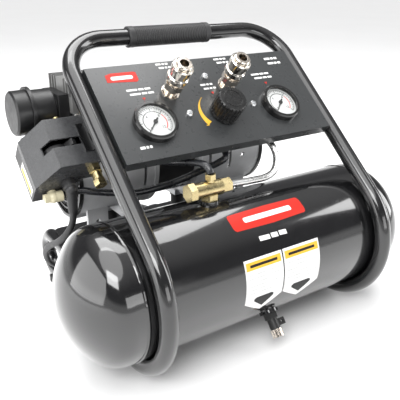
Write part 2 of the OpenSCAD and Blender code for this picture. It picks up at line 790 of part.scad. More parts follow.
// Hub and raked blades, pushed on the end of the shaft
module fan(side) {
  blades = 9;
  rake = 40;
  blade_w = (fan_w - 1.6) / sin(rake);
  color("#2d2d2d") on_shaft(side) translate([0, 0, fan_in]) difference() {
    union() {
      cylinder(h = fan_w, r = 13);
      for (i = [0 : blades - 1]) rotate([0, 0, i * 360 / blades])
        translate([11, 0, fan_w / 2]) rotate([side * rake, 0, 0])
          translate([0, -blade_w / 2, -0.8]) cube([fan_d / 2 - 12, blade_w, 1.6]);
    }
    translate([0, 0, -1]) cylinder(h = fan_w + 2, r = shaft_r);
  }
}

module fan_left() { fan(-1); }
module fan_right() { fan(1); }

// Round wire-and-ring guards on the open ends of the housings
module fan_guards() {
  hoops = [14, 22, 30, 38, 46];
  color("#1b1b1b") for (s = [-1, 1]) on_shaft(s) translate([0, 0, housing_len]) {
    ring(housing_r, housing_r - housing_wall, guard_w);
    translate([0, 0, guard_w - 2]) {
      cylinder(h = 1.8, r = 9);
      for (r = hoops) ring(r + 1, r - 1, 1.8);
    }
    for (a = [0 : 60 : 300]) rotate([0, 0, a + 10]) translate([6, -1, guard_w - 3.2])
      cube([housing_r - housing_wall - 4, 2, 1.8]);
  }
}

module cylinders() {
  color("#b9bbbd") for (s = [-1, 1]) on_cylinder(s)
    turned([[bore_r, liner_low], [liner_r, liner_low], [liner_r, deck_top],
      [liner_r + 4, deck_top], [liner_r + 4, liner_top], [bore_r, liner_top]]);
}

// Wobble piston at mid-stroke: crown with its cup seal, rod and the open big end
module piston(side) {
  crown = liner_top - 0.5 - throw;
  eye = throw * 2 + pin_r + rod_clear;
  color("#a9abad") on_cylinder(side) {
    turned([[0, crown - 8], [bore_r - run, crown - 8], [bore_r - run, crown], [0, crown]]);
    translate([-rod_t / 2, -rod_w / 2, eye + 2]) cube([rod_t, rod_w, crown - 9 - eye]);
    rotate([0, 90, 0]) translate([0, 0, -5]) ring(eye + 4, eye, 10);
  }
}

module piston_left() { piston(-1); }
module piston_right() { piston(1); }

// Finned head with a solid base and the ports for the filter and the tubes
module head(side) {
  fins = 9;
  fin_t = 2.2;
  color("#aeb0b2") on_cylinder(side) difference() {
    union() {
      translate([-head_w / 2, -head_depth / 2, liner_top]) cube([head_w, head_depth, head_base]);
      for (i = [0 : fins - 1])
        translate([-head_w / 2, -head_depth / 2 + i * (head_depth - fin_t) / (fins - 1),
          liner_top]) cube([head_w, fin_t, head_h]);
      translate([side < 0 ? -head_w / 2 : -12, -11, liner_top])
        cube([side < 0 ? 14 : 24, 22, head_h]);
    }
    translate([0, 0, head_port]) rotate([0, 90, 0]) translate([0, 0, -side * head_w / 2 - 10])
      cylinder(h = 20, r = link_r - link_wall);
  }
}

module head_left() { head(-1); }
module head_right() { head(1); }

// Tube with two nuts between the heads, and the aluminium tube down to the check valve
module delivery_tubes() {
  left = pump_x - stator_len / 2 - crank_s + head_w / 2;
  span = 2 * (pump_x - left);
  color("#c9cbcd") {
    placed() translate([left, pump_back, port_z]) rotate([0, 90, 0]) difference() {
      union() {
        cylinder(h = span, r = link_r);
        for (z = [0, span - 10]) translate([0, 0, z]) cylinder(h = 10, r = 9, $fn = 6);
      }
      translate([0, 0, -1]) cylinder(h = span + 2, r = link_r - link_wall);
    }
    swept(delivery_route, discharge_d, 12, 5);
  }
}

// ---- air filter ----

module on_filter() {
  placed() translate([filter_x - elbow_w, pump_back, filter_z]) rotate([0, -90, 0]) children();
}

// Intake block on the head's left face and the canister it carries
module filter_housing() {
  color("#262626") {
    difference() {
      placed() translate([filter_x - elbow_w, pump_back - 26, pump_z + deck_top + 1])
        cube([elbow_w, 52, 26]);
      on_filter() translate([0, 0, -elbow_w - 1]) cylinder(h = 30, r = 8);
    }
    on_filter() turned([[8, 0], [22, 0], [24, 2], [24, 24], [28, 25], [28, 29], [23, 29],
      [23, 26], [22.5, 3], [8, 3]]);
  }
}

module filter_element() {
  color("#d8d3c2") on_filter() translate([0, 0, 3]) ring(21, 9, filter_len - 8);
}

module filter_cap() {
  color("#2b2b2b") on_filter() turned([[0, filter_len - 3], [22.5, filter_len - 3], [22.5, 29],
    [filter_r, 29], [filter_r, filter_len - 2], [filter_r - 2, filter_len], [0, filter_len]]);
}

// ---- pressure switch ----

// A flat outline in x and n, drawn out along the slope from one height to another
module along_slope(low, high) {
  sloped() translate([0, high, 0]) rotate([90, 0, 0]) linear_extrude(high - low) children();
}

module switch_slice(back, front, inset) {
  intersection() {
    offset(delta = -inset) polygon(switch_outline);
    translate([-230, back]) square([120, front - back]);
  }
}

// A place on the switch's end faces: z runs up the slope (1) or down it (-1)
module on_switch(place, way) {
  sloped() translate(place) rotate([way * -90, 0, 0]) children();
}

// Base with the yoke for the lever and the relief valve's socket
module switch_base() {
  color("#242424") difference() {
    union() {
      along_slope(switch_low, switch_high) switch_slice(switch_back, switch_split, 0);
      for (p = [slot_low - 6, slot_high + 1])
        sloped() translate([lever_x - 6, p, switch_split - 1])
          cube([12, 5, lever_n - switch_split + 7]);
    }
    sloped() translate([lever_x, slot_low - 8, lever_n]) rotate([-90, 0, 0])
      cylinder(h = 26, r = lever_r + run);
    on_switch(relief_at, 1) translate([0, 0, -12]) cylinder(h = 13, r = 5);
  }
}

// Cover with one deep cut corner, a notch round the motor and the lever's slot across it
module switch_cover() {
  color("#3a3a3c") difference() {
    along_slope(switch_low, switch_high) switch_slice(switch_split, switch_front, 0);
    along_slope(switch_low + switch_wall, switch_high - switch_wall)
      switch_slice(switch_split - 5, switch_front, switch_wall);
    sloped() translate([-196, slot_low, switch_front - 14]) cube([42, slot_high - slot_low, 20]);
  }
}

// Rocker that turns in the yoke and shows its tab through the slot
module switch_lever() {
  t = slot_high - slot_low - 3;
  color("#1f1f1f") sloped() translate([lever_x, slot_low + 1.5, lever_n]) rotate([-90, 0, 0]) {
    translate([0, 0, -6]) cylinder(h = t + 12, r = lever_r);
    cylinder(h = t, r = 15);
    rotate([0, 0, -55]) translate([12, -3, 0]) cube([14, 6, t]);
  }
}

// Pale moulded elbow under the base, where the supply hose starts
module switch_elbow() {
  color("#cfc9ad") on_switch([elbow_x, switch_low, elbow_n], -1) {
    cylinder(h = elbow_drop, r = 5);
    translate([0, 0, elbow_drop]) {
      sphere(r = 6.5);
      rotate([0, 90, 0]) cylinder(h = 10, r = 6);
      rotate([0, -90, 0]) cylinder(h = 10, r = 5.6, $fn = 6);
    }
  }
}

// Brass union under the switch and a plated nut on its top
module switch_unions() {
  color("#b08d3c") {
    on_switch(union_at, -1) {
      cylinder(h = 8, r = 7.5, $fn = 6);
      cylinder(h = 17, r = 5.6);
      translate([0, 0, 17]) cylinder(h = 7, r = 7, $fn = 6);
    }
    on_switch(top_nut_at, 1) {
      cylinder(h = 7, r = 6.4, $fn = 6);
      cylinder(h = 12, r = 4);
    }
  }
}

// Relief valve on top of the switch; its ring pulls the stem up against a spring
module safety_valve() {
  color("#b08d3c") on_switch(relief_at, 1) difference() {
    union() {
      translate([0, 0, -11]) cylinder(h = 11, r = 4.95);
      cylinder(h = relief_h - 4, r = 5.2);
      translate([0, 0, relief_h - 4]) cylinder(h = 4, r = 6.4, $fn = 6);
    }
    translate([0, 0, -8]) cylinder(h = relief_h + 10, r = relief_stem_r + run);
  }
}

module safety_ring() {
  color("#d0d0d0") on_switch(relief_at, 1) {
    translate([0, 0, -6]) cylinder(h = relief_h + 7.5, r = relief_stem_r);
    translate([0, 0, relief_h + 0.5 + ring_wire + ring_r]) rotate([90, 0, 0]) rotate_extrude()
      translate([ring_r, 0]) circle(r = ring_wire);
  }
}

// ---- hoses and the mains cord ----

module supply_hose() { color("#202224") swept(supply_route, hose_d, 10, 4); }
module gauge_hose() { color("#202224") swept(gauge_route, hose_d, 10, 4); }

// A place in the leaning plane, given as it stands from the tank's axis and the floor
function stands_at(x, p, n) =
  [x, p * sin(lean) - n * cos(lean), tank_z + p * cos(lean) + n * sin(lean)];

// Gland nut under the switch and the tapered relief that hangs straight down from it
module cord_gland() {
  color("#1a1a1a") {
    on_switch(gland_at, -1) turned([[0, 0], [8, 0], [8, 7], [6.5, gland_nut], [0, gland_nut]]);
    placed() translate(stands_at(gland_at[0], gland_at[1] - gland_nut, gland_at[2]))
      rotate([180, 0, 0]) {
        sphere(r = 7);
        turned([[0, 0], [6.4, 0], [5, gland_len], [0, gland_len]]);
      }
  }
}

module power_cord() { color("#1a1a1a") swept(cord_route, cord_d, 8, 3); }

module cord_coil() {
  color("#1a1a1a") placed() translate(coil_at)
    rotate_extrude() translate([coil_r - coil_w / 2, 0]) square([coil_w, coil_h]);
}

// Moulded plug lying on the coil: body, two pins, strain relief and the end of the cord
module power_plug() {
  color("#1a1a1a") {
    placed() translate(plug_at) rotate([0, 90, 0]) {
      turned([[0, 0], [12, 0], [plug_r, 6], [plug_r, 28], [13, 31], [0, 31]]);
      for (y = [-9.5, 9.5]) translate([0, y, 30]) cylinder(h = 19, r = 2.4);
      translate([0, 0, -22]) turned([[0, 0], [4.6, 0], [6.5, 22.5], [0, 22.5]]);
    }
    swept(tail_route, cord_d, 8, 3);
  }
}

tank_barrel();
tank_head_left();
tank_head_right();
drain_valve_body();
drain_knob();
check_valve();
hoop_tube();
left_runner();
right_runner();
rubber_feet();
grip_sleeve();
control_panel();
panel_screws();
gauge_cases();
gauge_dials();
gauge_lenses();
tank_gauge_needle();
line_gauge_needle();
regulator_body();
regulator_spindle();
regulator_knob();
air_manifold();
coupler_body_left();
coupler_body_right();
coupler_sleeve_left();
coupler_sleeve_right();
supply_hose();
gauge_hose();
pump_tray();
pump_mounts();
crankcase_left();
crankcase_right();
stator();
stator_windings();
tie_bolts();
shaft_bearings();
motor_shaft();
fan_left();
fan_right();
fan_guards();
cylinders();
piston_left();
piston_right();
head_left();
head_right();
delivery_tubes();
filter_housing();
filter_element();
filter_cap();
switch_base();
switch_cover();
switch_lever();
switch_elbow();
switch_unions();
safety_valve();
safety_ring();
cord_gland();
power_cord();
cord_coil();
power_plug();
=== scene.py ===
"""A portable twin-cylinder air compressor on a leaning tube frame: finishes, fine pieces and studio."""

from __future__ import annotations

import logging
import math
from dataclasses import dataclass, field
from enum import Enum
from typing import Callable, Iterable, Sequence

import bmesh
import bpy
from mathutils import Matrix, Vector

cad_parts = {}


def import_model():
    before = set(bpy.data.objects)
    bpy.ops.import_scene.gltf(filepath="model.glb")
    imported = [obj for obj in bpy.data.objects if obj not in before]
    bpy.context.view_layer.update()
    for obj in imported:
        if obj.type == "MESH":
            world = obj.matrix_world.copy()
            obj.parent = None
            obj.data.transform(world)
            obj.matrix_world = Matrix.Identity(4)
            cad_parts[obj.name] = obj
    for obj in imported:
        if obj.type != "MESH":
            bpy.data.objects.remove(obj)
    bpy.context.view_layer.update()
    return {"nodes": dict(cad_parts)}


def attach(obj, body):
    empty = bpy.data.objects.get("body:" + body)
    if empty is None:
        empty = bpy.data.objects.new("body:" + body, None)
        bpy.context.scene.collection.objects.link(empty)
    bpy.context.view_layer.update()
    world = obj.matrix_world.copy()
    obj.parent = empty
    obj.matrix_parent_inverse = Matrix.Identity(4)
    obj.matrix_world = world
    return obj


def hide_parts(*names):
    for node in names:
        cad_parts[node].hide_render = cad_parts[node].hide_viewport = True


log = logging.getLogger("compressor")

MM = 0.001

Colour = tuple[float, float, float]
Point = tuple[float, float, float]
Flat = tuple[float, float]
Outline = Sequence[Flat]
Mesh = bmesh.types.BMesh
Corner = bmesh.types.BMVert
Thing = bpy.types.Object
Socket = bpy.types.NodeSocket


class Body(Enum):
    """The bodies that pieces made here ride on."""

    FRAME = "frame"
    KNOB = "knob"


class Side(Enum):
    """The machine's two sides, seen from its front."""

    LEFT = -1
    RIGHT = 1

    @property
    def word(self) -> str:
        """The side as the names of nodes and pieces give it."""
        return self.name.lower()


# ---------------------------------------------------------------- places


@dataclass(frozen=True)
class Places:
    """How the machine's own measures lie in the shared frame, in millimetres and degrees."""

    shift_y: float = -85.5
    tank_z: float = 96.0
    tank_r: float = 74.0
    lean: float = 48.7
    panel_n: float = 93.0
    panel_mid: float = 153.0

    def at(self, x: float, y: float, z: float) -> Vector:
        """A place in metres from one measured from the tank's axis and the floor."""
        return Vector((x, y + self.shift_y, z)) * MM

    def sloped(self, x: float, up: float, out: float) -> Vector:
        """A place in the leaning plane: across, up the slope and straight out of the tank's axis."""
        s, c = math.sin(math.radians(self.lean)), math.cos(math.radians(self.lean))
        return self.at(x, up * s - out * c, self.tank_z + up * c + out * s)

    def on_panel(self, x: float, up: float, out: float = 0.0) -> Vector:
        """A place on the panel's front face, from the panel's middle."""
        return self.sloped(x, self.panel_mid + up, self.panel_n + out)

    def panel_matrix(self, x: float, up: float, out: float = 0.0) -> Matrix:
        """Axes of a fitting on the panel: across, up the slope, straight out of it."""
        across = Vector((1, 0, 0))
        out_of = (self.on_panel(0, 0, 1) - self.on_panel(0, 0)).normalized()
        columns = (across, out_of.cross(across), out_of, self.on_panel(x, up, out))
        return Matrix([*zip(*columns), (0, 0, 0, 1)])

    def round_tank(self, x: float, turn: float, proud: float = 0.0) -> Vector:
        """A place on the tank's barrel: along it, degrees forward from its top, and proud of it."""
        r, a = self.tank_r + proud, math.radians(turn)
        return self.at(x, -r * math.sin(a), self.tank_z + r * math.cos(a))


PLACES = Places()


def along(start: Vector, way: Vector) -> Matrix:
    """A matrix whose z runs along a direction from a start."""
    return Matrix.Translation(start) @ way.to_track_quat("Z", "Y").to_matrix().to_4x4()


def eased(share: float) -> float:
    """A share from 0 to 1 that starts and ends gently."""
    t = min(1.0, max(0.0, share))
    return t * t * (3 - 2 * t)


# ---------------------------------------------------------------- finishes


class Shading:
    """A material's node tree, with the few links that every finish makes."""

    def __init__(self, name: str) -> None:
        """Start a material of this name with a Principled shader."""
        self.material = bpy.data.materials.new(name)
        self.material.use_nodes = True
        self.tree = self.material.node_tree
        self.shader = self.tree.nodes["Principled BSDF"]
        self.place = self.tree.nodes.new("ShaderNodeTexCoord").outputs["Object"]

    def node(
        self, kind: str, inputs: dict[str | int, object] | None = None, **values: object
    ) -> bpy.types.Node:
        """A new node.

        Args:
            kind: the node's type without its ShaderNode prefix.
            inputs: values of its inputs, or the sockets that they are linked from.
            values: its own settings.

        Returns:
            The node.
        """
        made = self.tree.nodes.new("ShaderNode" + kind)
        for key, value in values.items():
            setattr(made, key, value)
        for key, value in (inputs or {}).items():
            if isinstance(value, Socket):
                self.link(value, made.inputs[key])
            else:
                made.inputs[key].default_value = value
        return made

    def link(self, source: Socket, target: Socket) -> None:
        """Join two sockets."""
        self.tree.links.new(source, target)

    def noise(self, scale: float, detail: float = 3.0, stretch: Point = (1, 1, 1)) -> Socket:
        """Noise over the object's own coordinates.

        Args:
            scale: grains per metre.
            detail: octaves.
            stretch: how much denser the grain is along each axis.

        Returns:
            The noise's factor.
        """
        where = self.place
        if stretch != (1, 1, 1):
            where = self.node("Mapping", {"Vector": where, "Scale": stretch}).outputs["Vector"]
        return self.node("TexNoise", {"Scale": scale, "Detail": detail, "Vector": where}).outputs["Fac"]

    def spread(
        self, factor: Socket, low: float, high: float, start: float = 0.3, end: float = 0.7
    ) -> Socket:
        """A factor turned into values between two limits.

        Args:
            factor: the factor.
            low: the value at the start.
            high: the value at the end.
            start: the factor that gives the first value.
            end: the factor that gives the second.

        Returns:
            The values.
        """
        limits = {"From Min": start, "From Max": end, "To Min": low, "To Max": high}
        return self.node("MapRange", {**limits, "Value": factor}).outputs["Result"]

    def mixed(self, factor: Socket, low: Colour | Socket, high: Colour) -> Socket:
        """A colour between two, by a factor.

        Args:
            factor: 0 for the first colour, 1 for the second.
            low: the first colour, or a socket that holds it.
            high: the second colour.

        Returns:
            The colour socket.
        """
        first = low if isinstance(low, Socket) else (*low, 1.0)
        made = self.node("Mix", {"Factor": factor, "A": first, "B": (*high, 1.0)}, data_type="RGBA")
        return made.outputs["Result"]

    def normal(self) -> Socket:
        """The surface's own normals."""
        return self.node("NewGeometry").outputs["Normal"]

    def rounded(self, radius: float) -> Socket:
        """Normals with every edge rounded to a radius in millimetres, or the plain ones at 0."""
        if not radius:
            return self.normal()
        return self.node("Bevel", {"Radius": radius * MM}, samples=4).outputs["Normal"]

    def edges(self, normal: Socket) -> Socket:
        """A factor that rises along edges, from normals that round them."""
        dot = self.node("VectorMath", {0: normal, 1: self.normal()}, operation="DOT_PRODUCT")
        return self.spread(dot.outputs["Value"], 0.0, 1.0, 0.98, 0.8)

    def relief(self, height: Socket, depth: float, normal: Socket | None = None) -> Socket:
        """Normals with a fine relief.

        Args:
            height: the relief's height factor.
            depth: its depth in millimetres.
            normal: normals that it is laid over.

        Returns:
            The normals.
        """
        under = {"Normal": normal} if normal is not None else {}
        made = self.node("Bump", {"Distance": depth * MM, "Strength": 1.0, "Height": height, **under})
        return made.outputs["Normal"]


@dataclass(frozen=True)
class Finish:
    """A finish: colour, its shade, its gloss and the grain of its surface."""

    name: str
    colour: Colour
    metal: float = 0.0
    rough: tuple[float, float] = (0.3, 0.4)
    shade: float = 0.12
    grain: float = 900.0
    depth: float = 0.01
    stretch: Point = (1, 1, 1)
    edge: float = 0.4
    # How much lighter the colour is painted along edges: a painted edge highlight with a little wear.
    worn: float = 1.25
    coat: float = 0.0
    coat_rough: float = 0.06
    specular: float = 0.5

    def material(self) -> bpy.types.Material:
        """The finish's material, made once."""
        known = bpy.data.materials.get(self.name)
        if known is not None:
            return known
        shading = Shading(self.name)
        self.fill(shading)
        return shading.material

    def fill(self, shading: Shading) -> None:
        """Link the finish's nodes."""
        shader = shading.shader
        for name, value in (("Metallic", self.metal), ("Specular IOR Level", self.specular),
                            ("Coat Weight", self.coat), ("Coat Roughness", self.coat_rough)):
            shader.inputs[name].default_value = value
        rounded = shading.rounded(self.edge)
        cloud = shading.noise(self.grain * 0.12, 4.0)
        shading.link(self.tone(shading, rounded), shader.inputs["Base Color"])
        shading.link(shading.spread(cloud, *self.rough), shader.inputs["Roughness"])
        shading.link(shading.relief(self.height(shading), self.depth, rounded), shader.inputs["Normal"])

    def tone(self, shading: Shading, rounded: Socket) -> Socket:
        """The colour, shaded in clouds at random and lighter along its edges: a painted edge highlight
        with a little wear.

        Args:
            shading: the node tree.
            rounded: the normals that round the edges.

        Returns:
            The colour socket.
        """
        dark = tuple(c * (1 - self.shade) for c in self.colour)
        light = tuple(min(1.0, c * (1 + self.shade)) for c in self.colour)
        cloud = shading.spread(shading.noise(self.grain * 0.05, 5.0), 0.0, 1.0)
        # Painted edge highlight with a little wear: the colour lightened where the rounded normals find
        # edges.
        sheen_and_wear = tuple(min(1.0, c * self.worn + 0.01 * (self.worn > 1)) for c in self.colour)
        return shading.mixed(shading.edges(rounded), shading.mixed(cloud, dark, light), sheen_and_wear)

    def height(self, shading: Shading) -> Socket:
        """The relief's height: an even grain."""
        return shading.noise(self.grain, 4.0, self.stretch)


@dataclass(frozen=True)
class Cast(Finish):
    """Cast metal: a sand grain with scattered pits."""

    def height(self, shading: Shading) -> Socket:
        """The relief's height: grain broken by pits."""
        spacing = {"Scale": self.grain * 0.6, "Vector": shading.place}
        pits = shading.node("TexVoronoi", spacing, feature="F1").outputs["Distance"]
        both = shading.node("Math", {0: pits, 1: shading.noise(self.grain, 5.0)}, operation="ADD")
        return both.outputs["Value"]


@dataclass(frozen=True)
class Banded(Finish):
    """A surface of fine bands across one axis: laminations, windings, pleats or ribs."""

    pitch: float = 0.8
    across: str = "X"

    def height(self, shading: Shading) -> Socket:
        """The relief's height: bands with a little noise."""
        scale = math.pi / 10 / (self.pitch * MM)
        bands = {"Scale": scale, "Distortion": 0.6, "Detail": 2.0, "Detail Scale": 3.0}
        made = shading.node("TexWave", {**bands, "Vector": shading.place}, wave_type="BANDS",
                            bands_direction=self.across)
        return made.outputs["Fac"]


@dataclass(frozen=True)
class Clear(Finish):
    """A clear window: glossier at a slant, and open to light."""

    facing_gloss: float = 0.035
    slant_gloss: float = 0.8

    def fill(self, shading: Shading) -> None:
        """Link the window's nodes."""
        shading.tree.nodes.remove(shading.shader)
        through = shading.node("BsdfTransparent", {"Color": (*self.colour, 1.0)})
        smear = shading.relief(shading.noise(self.grain, 2.0), self.depth)
        gloss = shading.node("BsdfGlossy", {"Roughness": self.rough[0], "Normal": smear})
        facing = shading.node("LayerWeight", {"Blend": 0.5}).outputs["Facing"]
        steep = shading.node("Math", {0: facing, 1: 4.0}, operation="POWER").outputs["Value"]
        share = shading.node("Math", {0: steep, 1: self.slant_gloss, 2: self.facing_gloss},
                             operation="MULTIPLY_ADD", use_clamp=True).outputs["Value"]
        both = shading.node("MixShader", {0: share, 1: through.outputs["BSDF"], 2: gloss.outputs["BSDF"]})
        shading.link(both.outputs["Shader"], shading.tree.nodes["Material Output"].inputs["Surface"])


@dataclass(frozen=True)
class Ink(Finish):
    """A screen print: thin, even and barely glossy."""

    rough: tuple[float, float] = (0.38, 0.42)
    shade: float = 0.03
    grain: float = 2600
    depth: float = 0.001
    worn: float = 1.0
    specular: float = 0.25


TANK_PAINT = Finish("Tank paint", (0.006, 0.006, 0.0065), rough=(0.10, 0.16), grain=500, depth=0.003,
                    shade=0.2, coat=1.0, coat_rough=0.04, worn=1.6)
FRAME_PAINT = Finish("Frame paint", (0.008, 0.008, 0.0085), rough=(0.14, 0.2), grain=700, depth=0.003,
                     shade=0.2, coat=0.8, coat_rough=0.05, worn=1.6)
PANEL_PAINT = Finish("Panel paint", (0.03, 0.032, 0.033), rough=(0.27, 0.29), grain=1200, depth=0.0012,
                     shade=0.04, coat=0.25, coat_rough=0.1, edge=0.0)
FITTING_BLACK = Finish("Black fitting", (0.018, 0.018, 0.018), metal=0.3, rough=(0.3, 0.45), grain=1200,
                       depth=0.015, worn=3.0)
ZINC = Finish("Zinc plate", (0.62, 0.63, 0.64), metal=1.0, rough=(0.2, 0.34), grain=1500, depth=0.006,
              shade=0.1)
BRASS = Finish("Brass", (0.52, 0.43, 0.23), metal=1.0, rough=(0.22, 0.34), grain=1300, depth=0.008,
               shade=0.14, worn=1.3)
NICKEL = Finish("Nickel", (0.66, 0.6, 0.53), metal=1.0, rough=(0.12, 0.22), grain=1600, depth=0.004,
                shade=0.1, worn=1.2)
BRIGHT_NICKEL = Finish("Bright nickel", (0.74, 0.7, 0.64), metal=1.0, rough=(0.08, 0.16), grain=1600,
                       depth=0.003, shade=0.08, worn=1.2)
FOOT_RUBBER = Finish("Foot rubber", (0.02, 0.02, 0.02), rough=(0.6, 0.75), grain=1500, depth=0.03)
GRIP_RUBBER = Finish("Grip rubber", (0.024, 0.024, 0.025), rough=(0.42, 0.55), grain=2200, depth=0.02)
HOSE_RUBBER = Finish("Hose rubber", (0.014, 0.015, 0.018), rough=(0.22, 0.32), grain=1200, depth=0.008,
                     coat=0.2, coat_rough=0.15)
CORD_RUBBER = Finish("Cord sheath", (0.016, 0.016, 0.017), rough=(0.38, 0.5), grain=1800, depth=0.012)
GAUGE_BLACK = Finish("Gauge case", (0.006, 0.006, 0.006), rough=(0.12, 0.18), grain=1500, depth=0.005,
                     coat=0.3, worn=2.0)
DIAL_WHITE = Finish("Dial white", (0.62, 0.62, 0.61), rough=(0.35, 0.42), grain=2500, depth=0.002,
                    shade=0.02, worn=1.0)
DIAL_BLACK = Finish("Dial black", (0.015, 0.015, 0.015), rough=(0.4, 0.5), grain=2500, depth=0.002)
DIAL_RED = Finish("Dial red", (0.62, 0.03, 0.02), rough=(0.4, 0.5), grain=2500, depth=0.002)
LENS = Clear("Gauge window", (0.97, 0.98, 0.98), rough=(0.02, 0.03), grain=60, depth=0.004)
KNOB_PLASTIC = Finish("Knob plastic", (0.007, 0.007, 0.0072), rough=(0.22, 0.32), grain=1800, edge=0.6,
                      worn=2.2)
CAST_ALUMINIUM = Cast("Cast aluminium", (0.52, 0.525, 0.535), metal=0.25, rough=(0.34, 0.48), depth=0.03,
                      shade=0.08, edge=1.0)
HEAD_ALUMINIUM = Cast("Head aluminium", (0.2, 0.2, 0.197), metal=0.3, rough=(0.36, 0.5), grain=1100,
                      depth=0.03, shade=0.08, edge=0.8, worn=1.2)
TUBE_ALUMINIUM = Finish("Drawn aluminium", (0.7, 0.7, 0.69), metal=1.0, rough=(0.22, 0.34), depth=0.006,
                        shade=0.08)
STATOR_STEEL = Banded("Stator laminations", (0.02, 0.02, 0.021), metal=0.2, rough=(0.3, 0.42),
                      depth=0.08, pitch=1.2, worn=1.6)
COPPER = Banded("Enamelled copper", (0.45, 0.16, 0.06), metal=0.8, rough=(0.25, 0.35), depth=0.25,
                pitch=1.4, across="Y")
BEARING_STEEL = Finish("Bearing steel", (0.6, 0.6, 0.6), metal=1.0, rough=(0.15, 0.25), grain=1800,
                       depth=0.003)
FAN_PLASTIC = Finish("Fan plastic", (0.025, 0.025, 0.026), rough=(0.4, 0.5), grain=1500, depth=0.012)
GUARD_BLACK = Finish("Guard lacquer", (0.012, 0.012, 0.012), rough=(0.25, 0.35), grain=1500)
FILTER_PLASTIC = Finish("Filter plastic", (0.01, 0.01, 0.0105), rough=(0.3, 0.42), grain=1500,
                        depth=0.012, edge=0.8, worn=2.0)
FILTER_FELT = Banded("Filter felt", (0.62, 0.58, 0.47), rough=(0.85, 0.95), depth=0.6, pitch=3.0,
                     across="Z")
SWITCH_PLASTIC = Finish("Switch base plastic", (0.016, 0.016, 0.017), rough=(0.35, 0.45), grain=1600,
                        depth=0.012, worn=2.0)
COVER_PLASTIC = Finish("Switch cover plastic", (0.04, 0.041, 0.043), rough=(0.24, 0.32), grain=1900,
                       depth=0.012, edge=1.2, worn=1.6)
CREAM_PLASTIC = Finish("Cream plastic", (0.6, 0.55, 0.38), grain=1500)
INK_RED = Ink("Red print", (0.46, 0.02, 0.012), rough=(0.36, 0.4))
INK_WHITE = Ink("White print", (0.7, 0.7, 0.69), rough=(0.4, 0.44), shade=0.02)
INK_GREY = Ink("Grey print", (0.5, 0.5, 0.5), rough=(0.4, 0.44), shade=0.12)
INK_YELLOW = Ink("Yellow print", (0.66, 0.38, 0.04))
INK_BLACK = Ink("Black print", (0.008, 0.008, 0.008), shade=0.12)
FLOOR = Finish("Studio floor", (0.86, 0.86, 0.86), rough=(0.6, 0.7), grain=40, shade=0.01, edge=0.01,
               worn=1.0)


# ---------------------------------------------------------------- making meshes


def set_out(name: str, data: bpy.types.ID) -> Thing:
    """A new object in the scene that shows some data."""
    obj = bpy.data.objects.new(name, data)
    bpy.context.scene.collection.objects.link(obj)
    return obj


@dataclass
class Workshop:
    """Makes meshes into pieces, dresses them and keeps a list of what was made."""

    nodes: dict[str, Thing]
    made: list[str] = field(default_factory=list)

    def dress(self, finish: Finish, *names: str) -> None:
        """Give the named CAD nodes one finish."""
        for name in names:
            mesh = self.nodes[name].data
            mesh.materials.clear()
            mesh.materials.append(finish.material())
            log.info("node %s: %s", name, finish.name)

    def piece(self, name: str, shape: Mesh, finishes: Sequence[Finish], slot: str, body: Body = Body.FRAME,
              stands_for: Sequence[str] = (), angle: float = 35.0) -> Thing:
        """Turn a shape into a piece that rides on a body.

        Args:
            name: the piece's name.
            shape: its mesh, which is freed.
            finishes: its finishes, by material index.
            slot: a material slot name, handed on to join_in, which does not use it.
            body: the body that it rides on.
            stands_for: CAD nodes that it replaces.
            angle: edges sharper than this many degrees stay sharp.

        Returns:
            The piece.
        """
        mesh = bpy.data.meshes.new(name)
        bmesh.ops.recalc_face_normals(shape, faces=shape.faces)
        shape.to_mesh(mesh)
        shape.free()
        for finish in finishes:
            mesh.materials.append(finish.material())
        mesh.shade_smooth()
        mesh.set_sharp_from_angle(angle=math.radians(angle))
        return self.join_in(set_out(name, mesh), slot, body, stands_for)

    def tube(self, name: str, points: Sequence[Vector], diameter: float, finish: Finish, slot: str,
             stands_for: Sequence[str]) -> Thing:
        """A round tube on the frame, as a curve of one open spline.

        Args:
            name: the piece's name.
            points: its centreline in metres.
            diameter: its diameter in metres.
            finish: its finish.
            slot: a material slot name, handed on to join_in, which does not use it.
            stands_for: CAD nodes that it replaces.

        Returns:
            The piece.
        """
        curve = bpy.data.curves.new(name, "CURVE")
        curve.dimensions = "3D"
        curve.bevel_depth = diameter / 2
        curve.bevel_resolution = 5
        curve.use_fill_caps = True
        spline = curve.splines.new("POLY")
        spline.points.add(len(points) - 1)
        for target, point in zip(spline.points, points):
            target.co = (*point, 1.0)
        spline.use_smooth = True
        curve.materials.append(finish.material())
        return self.join_in(set_out(name, curve), slot, Body.FRAME, stands_for)

    def join_in(
        self, obj: Thing, slot: str, body: Body = Body.FRAME, stands_for: Sequence[str] = ()
    ) -> Thing:
        """Fix a new piece to its body, hide the nodes that it stands for and add it to the list of what
        was made.

        Args:
            obj: the piece.
            slot: not used.
            body: the body that it rides on.
            stands_for: CAD nodes that it replaces.

        Returns:
            The piece.
        """
        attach(obj, body.value)
        if stands_for:
            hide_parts(*stands_for)
        self.made.append(obj.name)
        log.info("piece %s rides on %s", obj.name, body.value)
        return obj


@dataclass
class Assembly:
    """A part of the machine, dressed and given its fine pieces in one workshop."""

    shop: Workshop


def smoothed(route: Sequence[Vector], steps: int) -> list[Vector]:
    """The smooth curve through a route's points.

    Args:
        route: the points.
        steps: pieces that each stretch is cut into.

    Returns:
        The curve's points.
    """
    out: list[Vector] = []
    last = len(route) - 1
    for i in range(last):
        a, b = route[max(i - 1, 0)], route[i]
        c, d = route[i + 1], route[min(i + 2, last)]
        for t in (k / steps for k in range(steps)):
            square, cube = (2 * a - 5 * b + 4 * c - d) * t**2, (3 * b - a - 3 * c + d) * t**3
            out.append((2 * b + (c - a) * t + square + cube) / 2)
    out.append(route[last].copy())
    return out


def round_of(sides: int) -> list[Flat]:
    """The corners of an even polygon of radius 1, anticlockwise from the right."""
    turns = (2 * math.pi * k / sides for k in range(sides))
    return [(math.cos(a), math.sin(a)) for a in turns]


